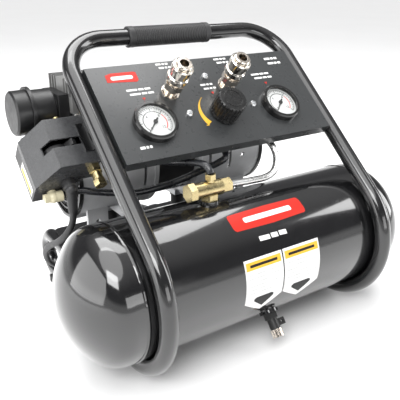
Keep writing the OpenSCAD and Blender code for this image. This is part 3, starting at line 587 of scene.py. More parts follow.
def skin(shape: Mesh, rows: Sequence[Sequence[Corner]], closed: bool = True, index: int = 0) -> None:
    """Join neighbouring rows of corners with faces.

    Args:
        shape: the mesh that it is added to.
        rows: the rows, each of as many corners.
        closed: True for rows that run round and meet themselves.
        index: its material index.
    """
    for one, two in zip(rows, rows[1:]):
        for k in range(len(one) if closed else len(one) - 1):
            m = (k + 1) % len(one)
            corners = list(dict.fromkeys([one[k], one[m], two[m], two[k]]))
            if len(corners) > 2:
                shape.faces.new(corners).material_index = index


def solid(shape: Mesh, rings: Sequence[Sequence[Corner]], index: int = 0) -> None:
    """A skin over rings of corners, with a flat cap at each end."""
    shape.faces.new(list(reversed(rings[0]))).material_index = index
    shape.faces.new(rings[-1]).material_index = index
    skin(shape, rings, index=index)


def lathe(shape: Mesh, profile: Outline, where: Matrix, sides: int = 48) -> None:
    """Turn a profile of (radius, height) in millimetres round the z of a matrix.

    Args:
        shape: the mesh that it is added to.
        profile: the profile, from one end to the other.
        where: its place, in metres.
        sides: faces round it.
    """
    rings = []
    for radius, height in profile:
        if radius < 1e-6:
            rings.append([shape.verts.new(where @ Vector((0, 0, height * MM)))] * sides)
        else:
            rings.append([shape.verts.new(where @ Vector((radius * MM * c, radius * MM * s, height * MM)))
                          for c, s in round_of(sides)])
    skin(shape, rings)


def slab(shape: Mesh, outline: Outline, place: Callable[[float, float, float], Vector], low: float,
         high: float, index: int = 0) -> None:
    """A thin plate of an outline, laid on a surface.

    Args:
        shape: the mesh that it is added to.
        outline: its corners in millimetres.
        place: the surface, which turns (across, up, out) into a place.
        low: the plate's back, over the surface.
        high: its face, over the surface.
        index: its material index.
    """
    solid(shape, [[shape.verts.new(place(x, y, out)) for x, y in outline] for out in (low, high)], index)


def height_at(line: Outline, x: float) -> float:
    """A line's height at a distance along it."""
    for (x0, a0), (x1, a1) in zip(line, line[1:]):
        if x0 <= x <= x1:
            return a0 + (a1 - a0) * (x - x0) / (x1 - x0)
    return line[-1][1]


def wrapped(shape: Mesh, upper: Outline, lower: Outline, proud: float, columns: int = 24,
            rows: int = 10, index: int = 0) -> None:
    """A label wrapped on the tank's barrel between two edges.

    Args:
        shape: the mesh that it is added to.
        upper: its top edge as (distance along the tank, degrees forward from the top).
        lower: its bottom edge, over the same stretch.
        proud: its height over the barrel in millimetres.
        columns: pieces along the tank.
        rows: pieces round the tank.
        index: its material index.
    """
    start, end = upper[0][0], upper[-1][0]
    even = {round(start + (end - start) * k / columns, 4) for k in range(columns + 1)}
    stations = sorted({round(x, 4) for x, _ in [*upper, *lower]} | even)
    grid = []
    for x in (x for x in stations if start <= x <= end):
        top = height_at(upper, x)
        drop = height_at(lower, x) - top
        grid.append([shape.verts.new(PLACES.round_tank(x, top + drop * k / rows, proud))
                     for k in range(rows + 1)])
    skin(shape, grid, closed=False, index=index)


def rounded_outline(
    x: float, y: float, width: float, height: float, radius: float, steps: int = 4
) -> list[Flat]:
    """The outline of a rectangle with round corners.

    Args:
        x: its middle across.
        y: its middle up.
        width: its width.
        height: its height.
        radius: its corners' radius.
        steps: pieces of each corner.

    Returns:
        The corners, anticlockwise.
    """
    out: list[Flat] = []
    for quarter, (sx, sy) in enumerate(((1, 1), (-1, 1), (-1, -1), (1, -1))):
        cx, cy = x + sx * (width / 2 - radius), y + sy * (height / 2 - radius)
        for k in range(steps + 1):
            a = math.radians(90 * (quarter + k / steps))
            out.append((cx + radius * math.cos(a), cy + radius * math.sin(a)))
    return out


def arc_band(x: float, y: float, inner: float, outer: float, start: float, end: float, steps: int = 24,
             tapered: bool = False) -> list[Flat]:
    """The outline of a band along an arc.

    Args:
        x: the arc's middle across.
        y: its middle up.
        inner: the inner radius.
        outer: the outer radius.
        start: the first angle in degrees, anticlockwise from the right.
        end: the last angle.
        steps: pieces of the arc.
        tapered: True for a band that thins to a point at its first angle.

    Returns:
        The corners.
    """
    angles = [math.radians(start + (end - start) * k / steps) for k in range(steps + 1)]
    out = [(x + outer * math.cos(a), y + outer * math.sin(a)) for a in angles]
    for k, a in reversed(list(enumerate(angles))):
        r = outer - (outer - inner) * max(k / steps if tapered else 1.0, 0.08)
        out.append((x + r * math.cos(a), y + r * math.sin(a)))
    return out


# ---------------------------------------------------------------- tank and frame


@dataclass
class Tank(Assembly):
    """The pressure tank, its drain, its valve and its labels."""

    barrel_len: float = 327.0
    head_skirt: float = 10.0
    head_wall: float = 2.0
    knuckle_r: float = 32.0
    crown_r: float = 90.0
    arc_steps: int = 20
    seam_w: float = 5.0
    seam_h: float = 0.9
    seam_sunk: float = 0.15
    seam_sides: int = 220
    seam_rows: int = 6
    print_h: float = 0.12
    badge_top: Outline = (
        (-47, 28), (-46, 25.4), (-44, 24.4), (5, 23.4), (50, 24), (52, 25), (53, 27.6),
    )
    badge_foot: Outline = (
        (-47, 37), (-46, 39.6), (-44, 40.8), (5, 41.6), (50, 40.4), (52, 39.4), (53, 36.8),
    )
    bar_top: Outline = ((-30, 31.2), (-28.6, 30.2), (34.6, 30), (36, 31))
    bar_foot: Outline = ((-30, 34.2), (-28.6, 35.2), (34.6, 35), (36, 34))
    line_parts: Outline = ((-22, -8), (-6, 3), (5, 15))
    label_spans: Outline = ((-50, 0.4), (2.2, 54))

    def build(self) -> None:
        """Dress the tank's nodes and make its heads, seams and prints."""
        for finish, name in ((TANK_PAINT, "tank_barrel"), (FITTING_BLACK, "drain_valve_body"),
                             (NICKEL, "drain_knob"), (BRASS, "check_valve")):
            self.shop.dress(finish, name)
        for side in Side:
            self.head(side)
            self.seam(side)
        self.badge()
        self.labels()

    def head(self, side: Side) -> None:
        """A pressed end head: a skirt, a knuckle and a crown, each flowing into the next."""
        tank_r, steps = PLACES.tank_r, self.arc_steps
        flat = tank_r - self.knuckle_r
        drop = math.sqrt((self.crown_r - self.knuckle_r) ** 2 - flat**2)
        meet = math.atan2(flat, drop)
        profile: list[Flat] = [(tank_r - self.head_wall, -self.head_skirt), (tank_r, -self.head_skirt)]
        for k in range(steps + 1):
            a = math.pi / 2 + (meet - math.pi / 2) * k / steps
            profile.append((flat + self.knuckle_r * math.sin(a), self.knuckle_r * math.cos(a)))
        for k in range(1, steps + 1):
            a = meet * (1 - k / steps)
            profile.append((self.crown_r * math.sin(a), self.crown_r * math.cos(a) - drop))
        shape = bmesh.new()
        start = PLACES.at(side.value * (self.barrel_len / 2 + self.head_skirt), 0, PLACES.tank_z)
        lathe(shape, profile, along(start, Vector((side.value, 0, 0))), 128)
        self.shop.piece(f"head_shell_{side.word}", shape, [TANK_PAINT], "tank_paint",
                        stands_for=(f"tank_head_{side.word}",))

    def seam(self, side: Side) -> None:
        """The rippled weld seam where an end head meets the barrel."""
        shape = bmesh.new()
        rings = []
        for k, (c, s) in enumerate(round_of(self.seam_sides)):
            ripple = 1 + 0.16 * math.sin(k * 1.7) + 0.08 * math.sin(k * 0.63)
            row = []
            for t in (m / self.seam_rows for m in range(self.seam_rows + 1)):
                r = PLACES.tank_r - self.seam_sunk + self.seam_h * ripple * math.sin(math.pi * t)
                x = side.value * self.barrel_len / 2 + (t - 0.5) * self.seam_w
                row.append(shape.verts.new(PLACES.at(x, r * c, PLACES.tank_z + r * s)))
            rings.append(row)
        skin(shape, [*rings, rings[0]], closed=False)
        self.shop.piece(f"tank_seam_{side.word}", shape, [TANK_PAINT], "tank_paint", angle=60)

    def badge(self) -> None:
        """A blank badge with a plain bar, and a broken line under it."""
        shape = bmesh.new()
        wrapped(shape, self.badge_top, self.badge_foot, self.print_h)
        wrapped(shape, self.bar_top, self.bar_foot, self.print_h * 2, index=1)
        for start, end in self.line_parts:
            top, foot = [(start, 49.4), (end, 49.8)], [(start, 53.4), (end, 53.8)]
            wrapped(shape, top, foot, self.print_h, 4, 3, 1)
        self.shop.piece("tank_badge", shape, [INK_RED, INK_WHITE], "tank_paint")

    def labels(self) -> None:
        """A pair of blank pointed labels with coloured heads."""
        shape = bmesh.new()
        for start, end in self.label_spans:
            self.label(shape, start, end)
        self.shop.piece("tank_labels", shape, [INK_WHITE, INK_YELLOW, INK_BLACK, INK_GREY], "tank_paint")

    def label(self, shape: Mesh, start: float, end: float) -> None:
        """One blank pointed label with its head, bars, mark, lines and border.

        Args:
            shape: the mesh that it is added to.
            start: its left edge along the tank.
            end: its right edge.
        """
        middle, over = (start + end) / 2, self.print_h * 2
        wrapped(shape, [(start, 65), (end, 65)], [(start, 104), (middle, 117), (end, 104)], self.print_h)
        for inset, top, foot, lift, columns, rows, index in (
            (2, 67.3, 74, over, 6, 3, 1), (7, 69.6, 71.8, self.print_h * 3, 4, 2, 2),
        ):
            ends = start + inset, end - inset
            wrapped(shape, [(x, top) for x in ends], [(x, foot) for x in ends], lift, columns, rows, index)
        wrapped(shape, [(start + 12, 101), (start + 15, 99.6), (end - 15, 99.6), (end - 12, 101)],
                [(start + 12, 103), (middle, 111.5), (end - 12, 103)], over, index=2)
        for row in range(6):
            angle = 77.5 + row * 3.3
            ends = start + 4, end - (4 if row % 3 < 2 else 14)
            wrapped(shape, [(x, angle) for x in ends], [(x, angle + 0.9) for x in ends], over, 4, 1, 3)
        for left, right, low_left, low_right in (
            (start + 0.9, start + 1.4, 103.7, 103.8), (end - 1.4, end - 0.9, 103.8, 103.7),
        ):
            foot = [(left, low_left), (right, low_right)]
            wrapped(shape, [(left, 66), (right, 66)], foot, over, 1, 12, 3)


@dataclass
class TubeFrame(Assembly):
    """The leaning hoop, the runners, the feet and the grip."""

    leg_x: float = 148.0
    fillet: float = 3.2
    weld_half: float = 20.0
    weld_steps: int = 40
    weld_sides: int = 8

    def build(self) -> None:
        """Dress the frame's nodes and lay its fillet welds."""
        self.shop.dress(FRAME_PAINT, "hoop_tube", "left_runner", "right_runner", "pump_tray")
        self.shop.dress(FOOT_RUBBER, "rubber_feet")
        self.shop.dress(GRIP_RUBBER, "grip_sleeve")
        for side in Side:
            self.leg_weld(side)

    def leg_weld(self, side: Side) -> None:
        """The two beads that hold a leg on the tank's barrel."""
        shape = bmesh.new()
        for edge in (-1, 1):
            rows = []
            for k in range(self.weld_steps + 1):
                t = k / self.weld_steps
                x = side.value * self.leg_x + edge * (1.2 + 4.2 * abs(2 * t - 1) ** 1.4)
                up = (2 * t - 1) * self.weld_half
                bulge = math.sqrt(max(0.02, math.sin(math.pi * t)))
                r = self.fillet * (0.55 + 0.1 * math.sin(k * 2.1)) * bulge
                out = math.sqrt(PLACES.tank_r**2 - up**2) + 0.6
                rows.append([shape.verts.new(PLACES.sloped(x + r * c, up, out + r * s))
                             for c, s in round_of(self.weld_sides)])
            solid(shape, rows)
        self.shop.piece(f"leg_weld_{side.word}", shape, [FRAME_PAINT], "frame_paint", angle=60)


# ---------------------------------------------------------------- control panel


@dataclass
class Panel(Assembly):
    """The control panel with its gauges, regulator, couplers and prints."""

    print_h: float = 0.15
    gauge_places: Flat = (-89.0, 82.0)
    row: float = -19.0
    dial_face: float = 2.8
    dial_r: float = 21.5
    window_rim: float = 6.0
    window_crown: float = 1.1
    knob_face: float = 26.5
    scale_start: float = 225.0
    scale_sweep: float = -270.0
    scale_end: int = 12
    divisions: int = 5
    badge_edge: Outline = (
        (-119, 49.2), (-119.6, 39.6), (-85.4, 37.2), (-82.6, 39.4), (-82.4, 50.2), (-86, 51.2),
        (-112, 51.4),
    )
    caption_rows: tuple[tuple[Flat, tuple[float, ...], Flat | None], ...] = (
        ((-103, -71), (26.6, 20.8), (-87, 14.2)),
        ((-54, -36), (57.5, 52.2), (-42, 45)),
        ((25, 45), (57.0, 51.6), (38, 45)),
        ((-11, 8), (22.4, 16.6), (0, 10.4)),
        ((66, 96), (28.4, 22.6), (81, 14.6)),
        ((99, 122), (50.2, 42.8), None),
        ((-117, -101), (-45.5,), None),
    )

    def build(self) -> None:
        """Dress the panel's nodes, print the panel and mark the dials."""
        for finish, *names in (
            (PANEL_PAINT, "control_panel"), (ZINC, "panel_screws", "regulator_body", "regulator_spindle"),
            (GAUGE_BLACK, "gauge_cases"), (DIAL_WHITE, "gauge_dials"),
            (DIAL_BLACK, "tank_gauge_needle", "line_gauge_needle"), (KNOB_PLASTIC, "regulator_knob"),
            (BRASS, "air_manifold"), (NICKEL, "coupler_body_left", "coupler_body_right"),
            (BRIGHT_NICKEL, "coupler_sleeve_left", "coupler_sleeve_right"),
        ):
            self.shop.dress(finish, *names)
        self.windows()
        self.badge()
        self.captions()
        self.knob_scale()
        self.knob_mark()
        for x, word in zip(self.gauge_places, ("tank", "line")):
            self.dial(x, word)
            self.numbers(x, word)

    def printed(self, shape: Mesh, outline: Outline, index: int = 0, lift: float = 0.0) -> None:
        """A print on the panel, raised by a lift over the others."""
        slab(shape, outline, PLACES.on_panel, lift, lift + self.print_h, index)

    def badge(self) -> None:
        """A blank badge with a plain bar in the panel's upper left corner."""
        shape = bmesh.new()
        self.printed(shape, self.badge_edge)
        self.printed(shape, rounded_outline(-101, 44.2, 26, 5, 2.2), 1, self.print_h)
        self.shop.piece("panel_badge", shape, [INK_RED, INK_WHITE], "panel_paint")

    def windows(self) -> None:
        """The thin crowned windows of both gauges."""
        shape = bmesh.new()
        inward = [1 - k / 8 for k in range(9)]
        profile = [(self.dial_r * t, self.window_rim + self.window_crown * (1 - t**2)) for t in inward]
        for x in self.gauge_places:
            lathe(shape, profile, PLACES.panel_matrix(x, self.row), 64)
        self.shop.piece("gauge_windows", shape, [LENS], "gauge_lens", stands_for=("gauge_lenses",))

    def captions(self) -> None:
        """Broken lines where captions stand, most with a small pointer under them."""
        shape = bmesh.new()
        for (start, end), heights, pointer in self.caption_rows:
            tall = 3.2 if pointer is None else 2.6
            for row, up in enumerate(heights):
                x = start + 2 * row
                for share in (0.44, 0.24, 0.26):
                    width = (end - start) * share
                    if x + width - 1 > end:
                        break
                    bar = width - 1.2
                    self.printed(shape, rounded_outline(x + bar / 2, up, bar, tall, 0.6, 2))
                    x += width
            if pointer is not None:
                px, py = pointer
                self.printed(shape, [(px, py - 2.6), (px + 2, py + 1), (px - 2, py + 1)], 1)
        self.shop.piece("panel_captions", shape, [INK_WHITE, INK_RED], "panel_paint")

    def knob_scale(self) -> None:
        """The crescent round the knob and its plus and minus marks."""
        shape = bmesh.new()
        self.printed(shape, arc_band(-3, self.row + 1.5, 20.5, 27.5, 122, 210, tapered=True))
        for width, height in ((4.2, 1.2), (1.2, 4.2)):
            slab(shape, rounded_outline(27.6, self.row + 4.6, width, height, 0.4, 2), PLACES.on_panel, 0.0,
                 self.print_h + 0.02 * width)
        self.printed(shape, rounded_outline(-27.5, self.row - 12.5, 4.2, 1.2, 0.4, 2))
        self.shop.piece("knob_scale", shape, [INK_YELLOW], "panel_paint")

    def knob_mark(self) -> None:
        """A raised ring and pointer on the knob's face."""
        shape = bmesh.new()
        sunk, top = self.knob_face - 0.2, self.knob_face + 0.5
        ring = [(10.5, sunk), (10.5, top), (11.3, top), (11.3, sunk)]
        lathe(shape, ring, PLACES.panel_matrix(0, self.row))
        slab(shape, [(-0.7, self.row + 3), (0.7, self.row + 3), (0, self.row + 9)], PLACES.on_panel,
             sunk, self.knob_face + 0.45)
        self.shop.piece("knob_ring", shape, [KNOB_PLASTIC], "knob_plastic", Body.KNOB)

    def dial(self, x: float, word: str) -> None:
        """A dial's divisions and its coloured arcs.

        Args:
            x: the gauge's place across the panel.
            word: which gauge it is.
        """
        shape = bmesh.new()
        low, high = self.dial_face - 0.05, self.dial_face + 0.1
        count = self.scale_end * self.divisions // 2
        for k in range(count + 1):
            inner, wide = (14.8, 0.4) if k % self.divisions == 0 else (16.4, 0.22)
            a = math.radians(self.scale_start + self.scale_sweep * k / count)
            c, s = math.cos(a), math.sin(a)
            outline = [(x + r * c - w * s, self.row + r * s + w * c)
                       for r, w in ((inner, wide), (inner, -wide), (18.4, -wide), (18.4, wide))]
            slab(shape, outline, PLACES.on_panel, low, high)
        for inner, outer, start, end, steps, index in (
            (18.4, 18.8, 225, -45, 60, 0), (13.0, 13.9, 225, 40, 40, 0), (13.0, 13.9, 38, -45, 24, 1),
        ):
            band = arc_band(x, self.row, inner, outer, start, end, steps)
            slab(shape, band, PLACES.on_panel, low, high, index)
        self.shop.piece(f"{word}_dial_marks", shape, [DIAL_BLACK, DIAL_RED], "dial_white")

    def numbers(self, x: float, word: str, ring: float = 10.2, step: int = 4) -> None:
        """The numbers round a dial.

        Args:
            x: the gauge's place across the panel.
            word: which gauge it is.
            ring: the radius that they stand on.
            step: from one number to the next.
        """
        for number in range(0, self.scale_end + 1, step):
            a = math.radians(self.scale_start + self.scale_sweep * number / self.scale_end)
            curve = bpy.data.curves.new(f"{word}_dial_{number}", "FONT")
            curve.body = str(number)
            curve.size, curve.extrude = 4.4 * MM, 0.06 * MM
            curve.align_x = curve.align_y = "CENTER"
            curve.materials.append(DIAL_BLACK.material())
            obj = set_out(curve.name, curve)
            obj.matrix_world = PLACES.panel_matrix(
                x + ring * math.cos(a), self.row + ring * math.sin(a), self.dial_face + 0.08
            )
            self.shop.join_in(obj, "dial_white")


# ---------------------------------------------------------------- pump


@dataclass
class Pump(Assembly):
    """The twin-cylinder pump, its motor, tray mounts, filter and delivery pipe."""

    pump_x: float = -21.0
    link_left: float = -91.0
    link_right: float = 49.0
    link_y: float = 158.0
    link_z: float = 264.0
    link_r: float = 5.0
    nut_len: float = 10.0
    tube_d: float = 8.0
    stator_len: float = 58.0
    shaft_z: float = 181.0
    guard_s: float = 100.6
    guard_r: float = 54.0
    mesh_pitch: float = 5.5
    mesh_wire: float = 0.4
    mesh_lift: float = 0.25
    mesh_turn: float = 40.0
    delivery: tuple[Point, ...] = (
        (-20, 0, 185), (-6, 0, 184), (14, 0, 183), (32, 0, 183), (46, 3, 186), (55, 9, 193),
        (60, 16, 202), (60, 27, 213), (57, 50, 222), (58, 80, 240), (64, 101, 257), (71, 111, 264),
        (71, 123, 264),
    )

    def build(self) -> None:
        """Dress the pump's nodes and make its delivery pipe and guards."""
        for finish, *names in (
            (FOOT_RUBBER, "pump_mounts"), (CAST_ALUMINIUM, "crankcase_left", "crankcase_right"),
            (HEAD_ALUMINIUM, "head_left", "head_right"),
            (TUBE_ALUMINIUM, "cylinders", "piston_left", "piston_right"), (STATOR_STEEL, "stator"),
            (COPPER, "stator_windings"), (ZINC, "tie_bolts"),
            (BEARING_STEEL, "shaft_bearings", "motor_shaft"),
            (FAN_PLASTIC, "fan_left", "fan_right"), (GUARD_BLACK, "fan_guards"),
            (FILTER_PLASTIC, "filter_housing", "filter_cap"), (FILTER_FELT, "filter_element"),
        ):
            self.shop.dress(finish, *names)
        self.pipes()
        for side in Side:
            self.guard_mesh(side)

    def pipes(self) -> None:
        """The link between the heads with its two nuts, and the delivery pipe down to the tank."""
        shape = bmesh.new()
        span, r, nut = self.link_right - self.link_left, self.link_r, self.nut_len
        where = along(PLACES.at(self.link_left, self.link_y, self.link_z), Vector((1, 0, 0)))
        lathe(shape, [(r, nut - 0.4), (r, span - nut + 0.4)], where, 40)
        for start in (0.0, span - nut):
            lathe(shape, [(r, start), (8.1, start), (9, start + 0.6), (9, start + nut - 0.6),
                          (8.1, start + nut), (r, start + nut)], where, 6)
        self.sleeve(shape, smoothed([PLACES.at(*p) for p in self.delivery], 8))
        self.shop.piece("delivery_pipe", shape, [TUBE_ALUMINIUM], "tube_aluminium",
                        stands_for=("delivery_tubes",))

    def sleeve(self, shape: Mesh, points: Sequence[Vector], sides: int = 20) -> None:
        """Sweep the pipe's round section along a line.

        Args:
            shape: the mesh that it is added to.
            points: the line, in metres.
            sides: faces round it.
        """
        radius = self.tube_d / 2 * MM
        across = Vector((0, 0, 1))
        rings = []
        last = len(points) - 1
        for k, point in enumerate(points):
            way = (points[min(k + 1, last)] - points[max(k - 1, 0)]).normalized()
            across = (across - way * across.dot(way)).normalized()
            other = way.cross(across)
            rings.append([shape.verts.new(point + radius * (c * across + s * other))
                          for c, s in round_of(sides)])
        solid(shape, rings)

    def guard_mesh(self, side: Side) -> None:
        """Woven wires behind the hoops of a fan guard."""
        shape = bmesh.new()
        out = side.value * (self.stator_len / 2 + self.guard_s)
        middle = PLACES.at(self.pump_x + out, self.link_y, self.shaft_z)
        count = int(self.guard_r / self.mesh_pitch)
        offsets = ((k + 0.5) * self.mesh_pitch for k in range(-count, count + 1))
        for off in (each for each in offsets if abs(each) <= self.guard_r - 2):
            half = math.sqrt(self.guard_r**2 - off**2)
            for turn in (1, -1):
                a = math.radians(self.mesh_turn * turn)
                way, cross = Vector((0, math.cos(a), math.sin(a))), Vector((0, -math.sin(a), math.cos(a)))
                lift = Vector((side.value * self.mesh_lift * turn, 0, 0)) * MM
                self.wire(shape, middle + cross * off * MM + lift, way * half * MM, cross)
        self.shop.piece(f"guard_mesh_{side.word}", shape, [GUARD_BLACK], "guard_black", angle=70)

    def wire(self, shape: Mesh, middle: Vector, reach: Vector, cross: Vector) -> None:
        """One straight wire.

        Args:
            shape: the mesh that it is added to.
            middle: its middle.
            reach: from its middle to its end.
            cross: a direction across it, in the guard's plane.
        """
        thick = self.mesh_wire * MM
        solid(shape, [[shape.verts.new(middle + end * reach + thick * (c * cross + s * Vector((1, 0, 0))))
                       for c, s in round_of(6)] for end in (-1, 1)])


# ---------------------------------------------------------------- switch, hoses and cord


@dataclass
class PressureSwitch(Assembly):
    """The pressure switch with its relief valve and unions."""

    face_x: float = -207.0

    def build(self) -> None:
        """Dress the switch's nodes and put on its blank label."""
        for finish, *names in (
            (SWITCH_PLASTIC, "switch_base", "switch_lever"), (COVER_PLASTIC, "switch_cover"),
            (CREAM_PLASTIC, "switch_elbow"), (BRASS, "switch_unions", "safety_valve"),
            (ZINC, "safety_ring"), (CORD_RUBBER, "cord_gland"),
        ):
            self.shop.dress(finish, *names)
        shape = bmesh.new()
        slab(shape, [(131, -8), (131, 6), (168, 6), (168, -8)], self.on_face, 0.0, 0.12)
        slab(shape, [(133, -6), (133, -1), (166, -1), (166, -6)], self.on_face, 0.12, 0.2, 1)
        self.shop.piece("switch_label", shape, [INK_WHITE, INK_YELLOW], "cover_plastic")

    def on_face(self, up: float, out: float, proud: float) -> Vector:
        """A place on the switch's left face: up the slope, out of it, and proud of the face."""
        return PLACES.sloped(self.face_x - proud, up, out)


@dataclass
class Hoses(Assembly):
    """The two air hoses."""

    diameter: float = 8.0
    supply: tuple[Point, ...] = (
        (-178, 89.1, 177), (-168, 88.5, 178), (-158, 85.5, 179.5), (-142, 79, 176.5), (-124, 75, 173),
        (-98, 69, 170), (-72, 64, 172.5), (-51, 58, 177.5), (-32, 49, 186), (-13, 36, 197), (-3, 30, 205),
        (0, 36.6, 212),
    )
    gauge: tuple[Point, ...] = (
        (-45, 0, 202), (-45, 2, 206), (-47, 8, 210), (-52, 17, 211), (-60, 29, 210), (-70, 44, 208),
        (-80, 60, 208), (-87, 70, 213), (-89, 70, 220), (-89, 64.75, 226),
    )

    def build(self) -> None:
        """Make both hoses along their routes."""
        for name, route in (("supply_hose", self.supply), ("gauge_hose", self.gauge)):
            points = smoothed([PLACES.at(*p) for p in route], 8)
            self.shop.tube(f"{name}_line", points, self.diameter * MM, HOSE_RUBBER, "hose_rubber", (name,))


@dataclass
class MainsCord(Assembly):
    """The mains cord: a free stretch, a wound coil of the spare length and a moulded plug."""

    diameter: float = 7.5
    coil_x: float = 20.0
    coil_y: float = 332.0
    radii: tuple[float, float, float] = (49.5, 42.0, 34.5)
    per_turn: int = 60
    wound_in_all: float = 5 * 360 + 266.0
    climbs: Flat = (770, 1850)
    climb_len: float = 150.0
    route: tuple[Point, ...] = (
        (-172, 76, 160.7), (-173, 76, 153), (-175, 77, 145), (-178, 81, 136.5), (-181, 89, 127.5),
        (-183.5, 103, 117), (-185, 120, 107), (-186, 137, 95.5), (-184, 152, 81), (-178, 165, 65),
        (-168, 176, 51), (-154, 184, 39), (-139, 192, 28), (-122, 201, 17), (-104, 212, 9),
        (-84, 226, 4.5), (-62, 241, 4), (-38, 257, 4), (-14, 271, 4), (4, 279, 4), (20, 282.5, 3.9),
    )
    tail: tuple[Point, ...] = (
        (-28.4, 321, 20), (-22.5, 306, 23.5), (-12, 295, 28), (1, 290, 31), (8, 290, 31),
    )
    plug_at: Point = (22, 290, 31)
    plug_shell: Outline = (
        (8.5, 0), (12, 1.5), (14.2, 5), (15, 9), (15.6, 12), (14.6, 15), (15.6, 18), (15.8, 27),
        (15.2, 29.6), (13.4, 30.8), (0, 30.8),
    )
    pin_profile: Outline = ((0, 30), (2.4, 30), (2.4, 47), (1.9, 48.6), (0.9, 49), (0, 49))
    pin_y: float = 9.5
    tie_w: float = 9.0
    tie_thick: float = 0.8

    def build(self) -> None:
        line = self.centreline()
        cord = self.shop.tube("mains_cord", line, self.diameter * MM, CORD_RUBBER, "cord_rubber",
                              ("power_cord", "cord_coil"))
        plug, pins = self.plug()
        tie = self.tie()

    def centreline(self) -> list[Vector]:
        """The whole cord as one line: down from the gland, round the coil and up to the plug."""
        free = smoothed([PLACES.at(*p) for p in self.route], 4)
        turns = [PLACES.at(*self.on_coil(a)) for a in self.angles()]
        tail = smoothed([turns[-9], turns[-1], *[PLACES.at(*p) for p in self.tail]], 5)[6:]
        return free[:-1] + turns + tail

    def angles(self) -> Iterable[float]:
        """Degrees wound from the coil's front, up to where the cord leaves for the plug."""
        count = round(self.wound_in_all / 360 * self.per_turn)
        return (self.wound_in_all * k / count for k in range(count + 1))

    def on_coil(self, wound: float) -> Point:
        """The cord's place in the coil after a number of degrees.

        Three turns lie on the floor from the outside in, and three on top from the inside out.

        Args:
            wound: degrees wound from the coil's front, anticlockwise from above.

        Returns:
            The place, from the tank's axis and the floor, in millimetres.
        """
        outer, middle, inner = self.radii
        radius = outer
        for start, end, before, after in ((180, 360, outer, middle), (540, 720, middle, inner),
                                          (1260, 1440, inner, middle), (1620, 1800, middle, outer)):
            if wound >= start:
                radius = before + (after - before) * eased((wound - start) / (end - start))
        rise = sum(eased((wound - start) / self.climb_len) * self.diameter for start in self.climbs)
        angle = math.radians(wound - 90)
        return (self.coil_x + radius * math.cos(angle), self.coil_y + radius * math.sin(angle),
                self.diameter / 2 + 0.2 + rise)

    def plug(self) -> tuple[Thing, Thing]:
        """The moulded plug with its ribbed relief, and its two pins.

        Returns:
            The plug and the pins.
        """
        where = along(PLACES.at(*self.plug_at), Vector((1, 0, 0)))
        relief = []
        for k in range(6):
            z, r = -21 + 3.4 * k, 4.4 + 0.32 * k
            relief += [(r, z), (r, z + 2.2), (r - 0.7, z + 2.4), (r - 0.7, z + 3.2)]
        body, metal = bmesh.new(), bmesh.new()
        lathe(body, [(0, -21.4), (4.2, -21.4), *relief, *self.plug_shell], where)
        for y in (-self.pin_y, self.pin_y):
            lathe(metal, self.pin_profile, where @ Matrix.Translation(Vector((0, y, 0)) * MM), 20)
        plug = self.shop.piece("plug_body", body, [CORD_RUBBER], "cord_rubber", stands_for=("power_plug",))
        return plug, self.shop.piece("plug_pins", metal, [BRIGHT_NICKEL], "nickel")

    def tie(self) -> Thing:
        """The strap that holds the coil's turns together at its back."""
        shape = bmesh.new()
        middle, top = self.radii[1], 2 * self.diameter + 0.4
        half = 1.5 * self.diameter + 0.3
        loop = rounded_outline(middle, top / 2 + 0.1, 2 * half, top - 0.2, 3.4)
        rings = []
        for x, push in ((-1, 0), (-1, self.tie_thick), (1, self.tie_thick), (1, 0)):
            grow = 1 + push / half
            rings.append([
                shape.verts.new(PLACES.at(self.coil_x + x * self.tie_w / 2,
                                          self.coil_y + middle + (r - middle) * grow,
                                          max(0.15, top / 2 + (z - top / 2) * grow)))
                for r, z in loop
            ])
        skin(shape, [*rings, rings[0]])
        return self.shop.piece("cord_tie", shape, [FOOT_RUBBER], "cord_rubber")


# ---------------------------------------------------------------- studio


@dataclass(frozen=True)
class Softbox:
    """A soft rectangular lamp: its place in metres, its size in metres and its power in watts."""

    name: str
    at: Point
    wide: float
    tall: float
    power: float

    def hang(self, aim: Point = (0, 0, 0.15)) -> None:
        """Hang the lamp so that it points at the machine."""
        data = bpy.data.lights.new(self.name, "AREA")
        data.shape = "RECTANGLE"
        data.size, data.size_y, data.energy = self.wide, self.tall, self.power
        obj = set_out(self.name, data)
        obj.location = self.at
        obj.rotation_mode = "QUATERNION"
        obj.rotation_quaternion = (Vector(aim) - Vector(self.at)).to_track_quat("-Z", "Y")


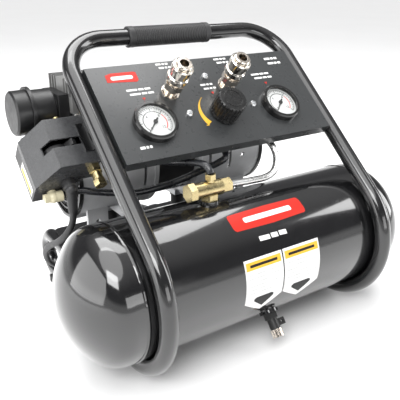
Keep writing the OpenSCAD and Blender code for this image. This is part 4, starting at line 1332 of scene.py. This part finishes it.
@dataclass
class Studio:
    """The camera, the floor, the lamps and the surroundings."""

    camera_at: Point = (-368.0, -465.0, 399.0)
    looks_along: Point = (0.5145, 0.7723, -0.3725)
    lens: float = 50.6
    floor_half: float = 60.0
    softboxes: tuple[Softbox, ...] = (
        Softbox("Left wall", (-1.5, 0.15, 0.55), 1.5, 1.0, 14),
        Softbox("Front fill", (0.1, -1.9, 0.5), 1.2, 0.5, 6),
        Softbox("Key softbox", (-1.3, -1.2, 1.6), 1.2, 0.8, 26),
        Softbox("Top softbox", (0.2, 0.5, 1.9), 1.8, 1.0, 30),
        Softbox("Right softbox", (1.8, -0.9, 0.9), 0.6, 1.4, 16),
    )
    even_light: float = 2.0
    even_spread: float = 60.0
    even_tilt: Flat = (12.0, -14.0)
    sky: tuple[tuple[float, Colour], ...] = (
        (0.09, (0.98, 0.98, 0.98)), (0.2, (0.16, 0.16, 0.165)), (0.5, (0.16, 0.16, 0.165)),
        (1.0, (0.95, 0.95, 0.95)),
    )
    sky_strength: float = 0.9

    def camera(self) -> None:
        """The camera at the machine's front left."""
        bpy.context.scene.view_settings.view_transform = "Standard"
        data = bpy.data.cameras.new("Camera")
        data.lens, data.sensor_width = self.lens, 36.0
        data.clip_start, data.clip_end = 0.01, 100
        obj = set_out("Camera", data)
        obj.location = PLACES.at(*self.camera_at)
        obj.rotation_mode = "QUATERNION"
        obj.rotation_quaternion = Vector(self.looks_along).to_track_quat("-Z", "Y")
        bpy.context.scene.camera = obj

    def floor(self) -> None:
        """A wide pale floor."""
        half = self.floor_half
        mesh = bpy.data.meshes.new("Floor")
        corners = [(-half, -half, 0), (half, -half, 0), (half, half, 0), (-half, half, 0)]
        mesh.from_pydata(corners, [], [(0, 1, 2, 3)])
        mesh.materials.append(FLOOR.material())
        set_out("Floor", mesh)

    def surroundings(self) -> None:
        """Surroundings that are pale at the horizon, dim over it and bright overhead."""
        world = bpy.data.worlds.new("Studio")
        bpy.context.scene.world = world
        world.use_nodes = True
        tree = world.node_tree
        place, split, ramp = (
            tree.nodes.new("ShaderNode" + kind) for kind in ("TexCoord", "SeparateXYZ", "ValToRGB")
        )
        stops = ramp.color_ramp.elements
        for stop, (height, colour) in zip((stops[0], stops[-1]), (self.sky[0], self.sky[-1])):
            stop.position, stop.color = height, (*colour, 1)
        for height, colour in self.sky[1:-1]:
            stops.new(height).color = (*colour, 1)
        tree.links.new(place.outputs["Generated"], split.inputs[0])
        tree.links.new(split.outputs["Z"], ramp.inputs["Fac"])
        tree.links.new(ramp.outputs["Color"], tree.nodes["Background"].inputs["Color"])
        tree.nodes["Background"].inputs["Strength"].default_value = self.sky_strength

    def lamps(self) -> None:
        """Softboxes round the machine and a broad, even light over the whole floor."""
        for softbox in self.softboxes:
            softbox.hang()
        data = bpy.data.lights.new("Even light", "SUN")
        data.angle, data.energy = math.radians(self.even_spread), self.even_light
        obj = set_out("Even light", data)
        obj.rotation_euler = (*map(math.radians, self.even_tilt), 0)


def main() -> None:
    """Load the machine, dress it, make its fine pieces and light it."""
    logging.basicConfig(level=logging.INFO, format="%(name)s: %(message)s")
    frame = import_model()
    studio = Studio()
    studio.camera()
    shop = Workshop(frame["nodes"])
    for part in (MainsCord, Tank, TubeFrame, Panel, Pump, PressureSwitch, Hoses):
        part(shop).build()
    studio.floor()
    studio.surroundings()
    studio.lamps()
    bpy.context.view_layer.update()


if __name__ == "__main__":
    main()
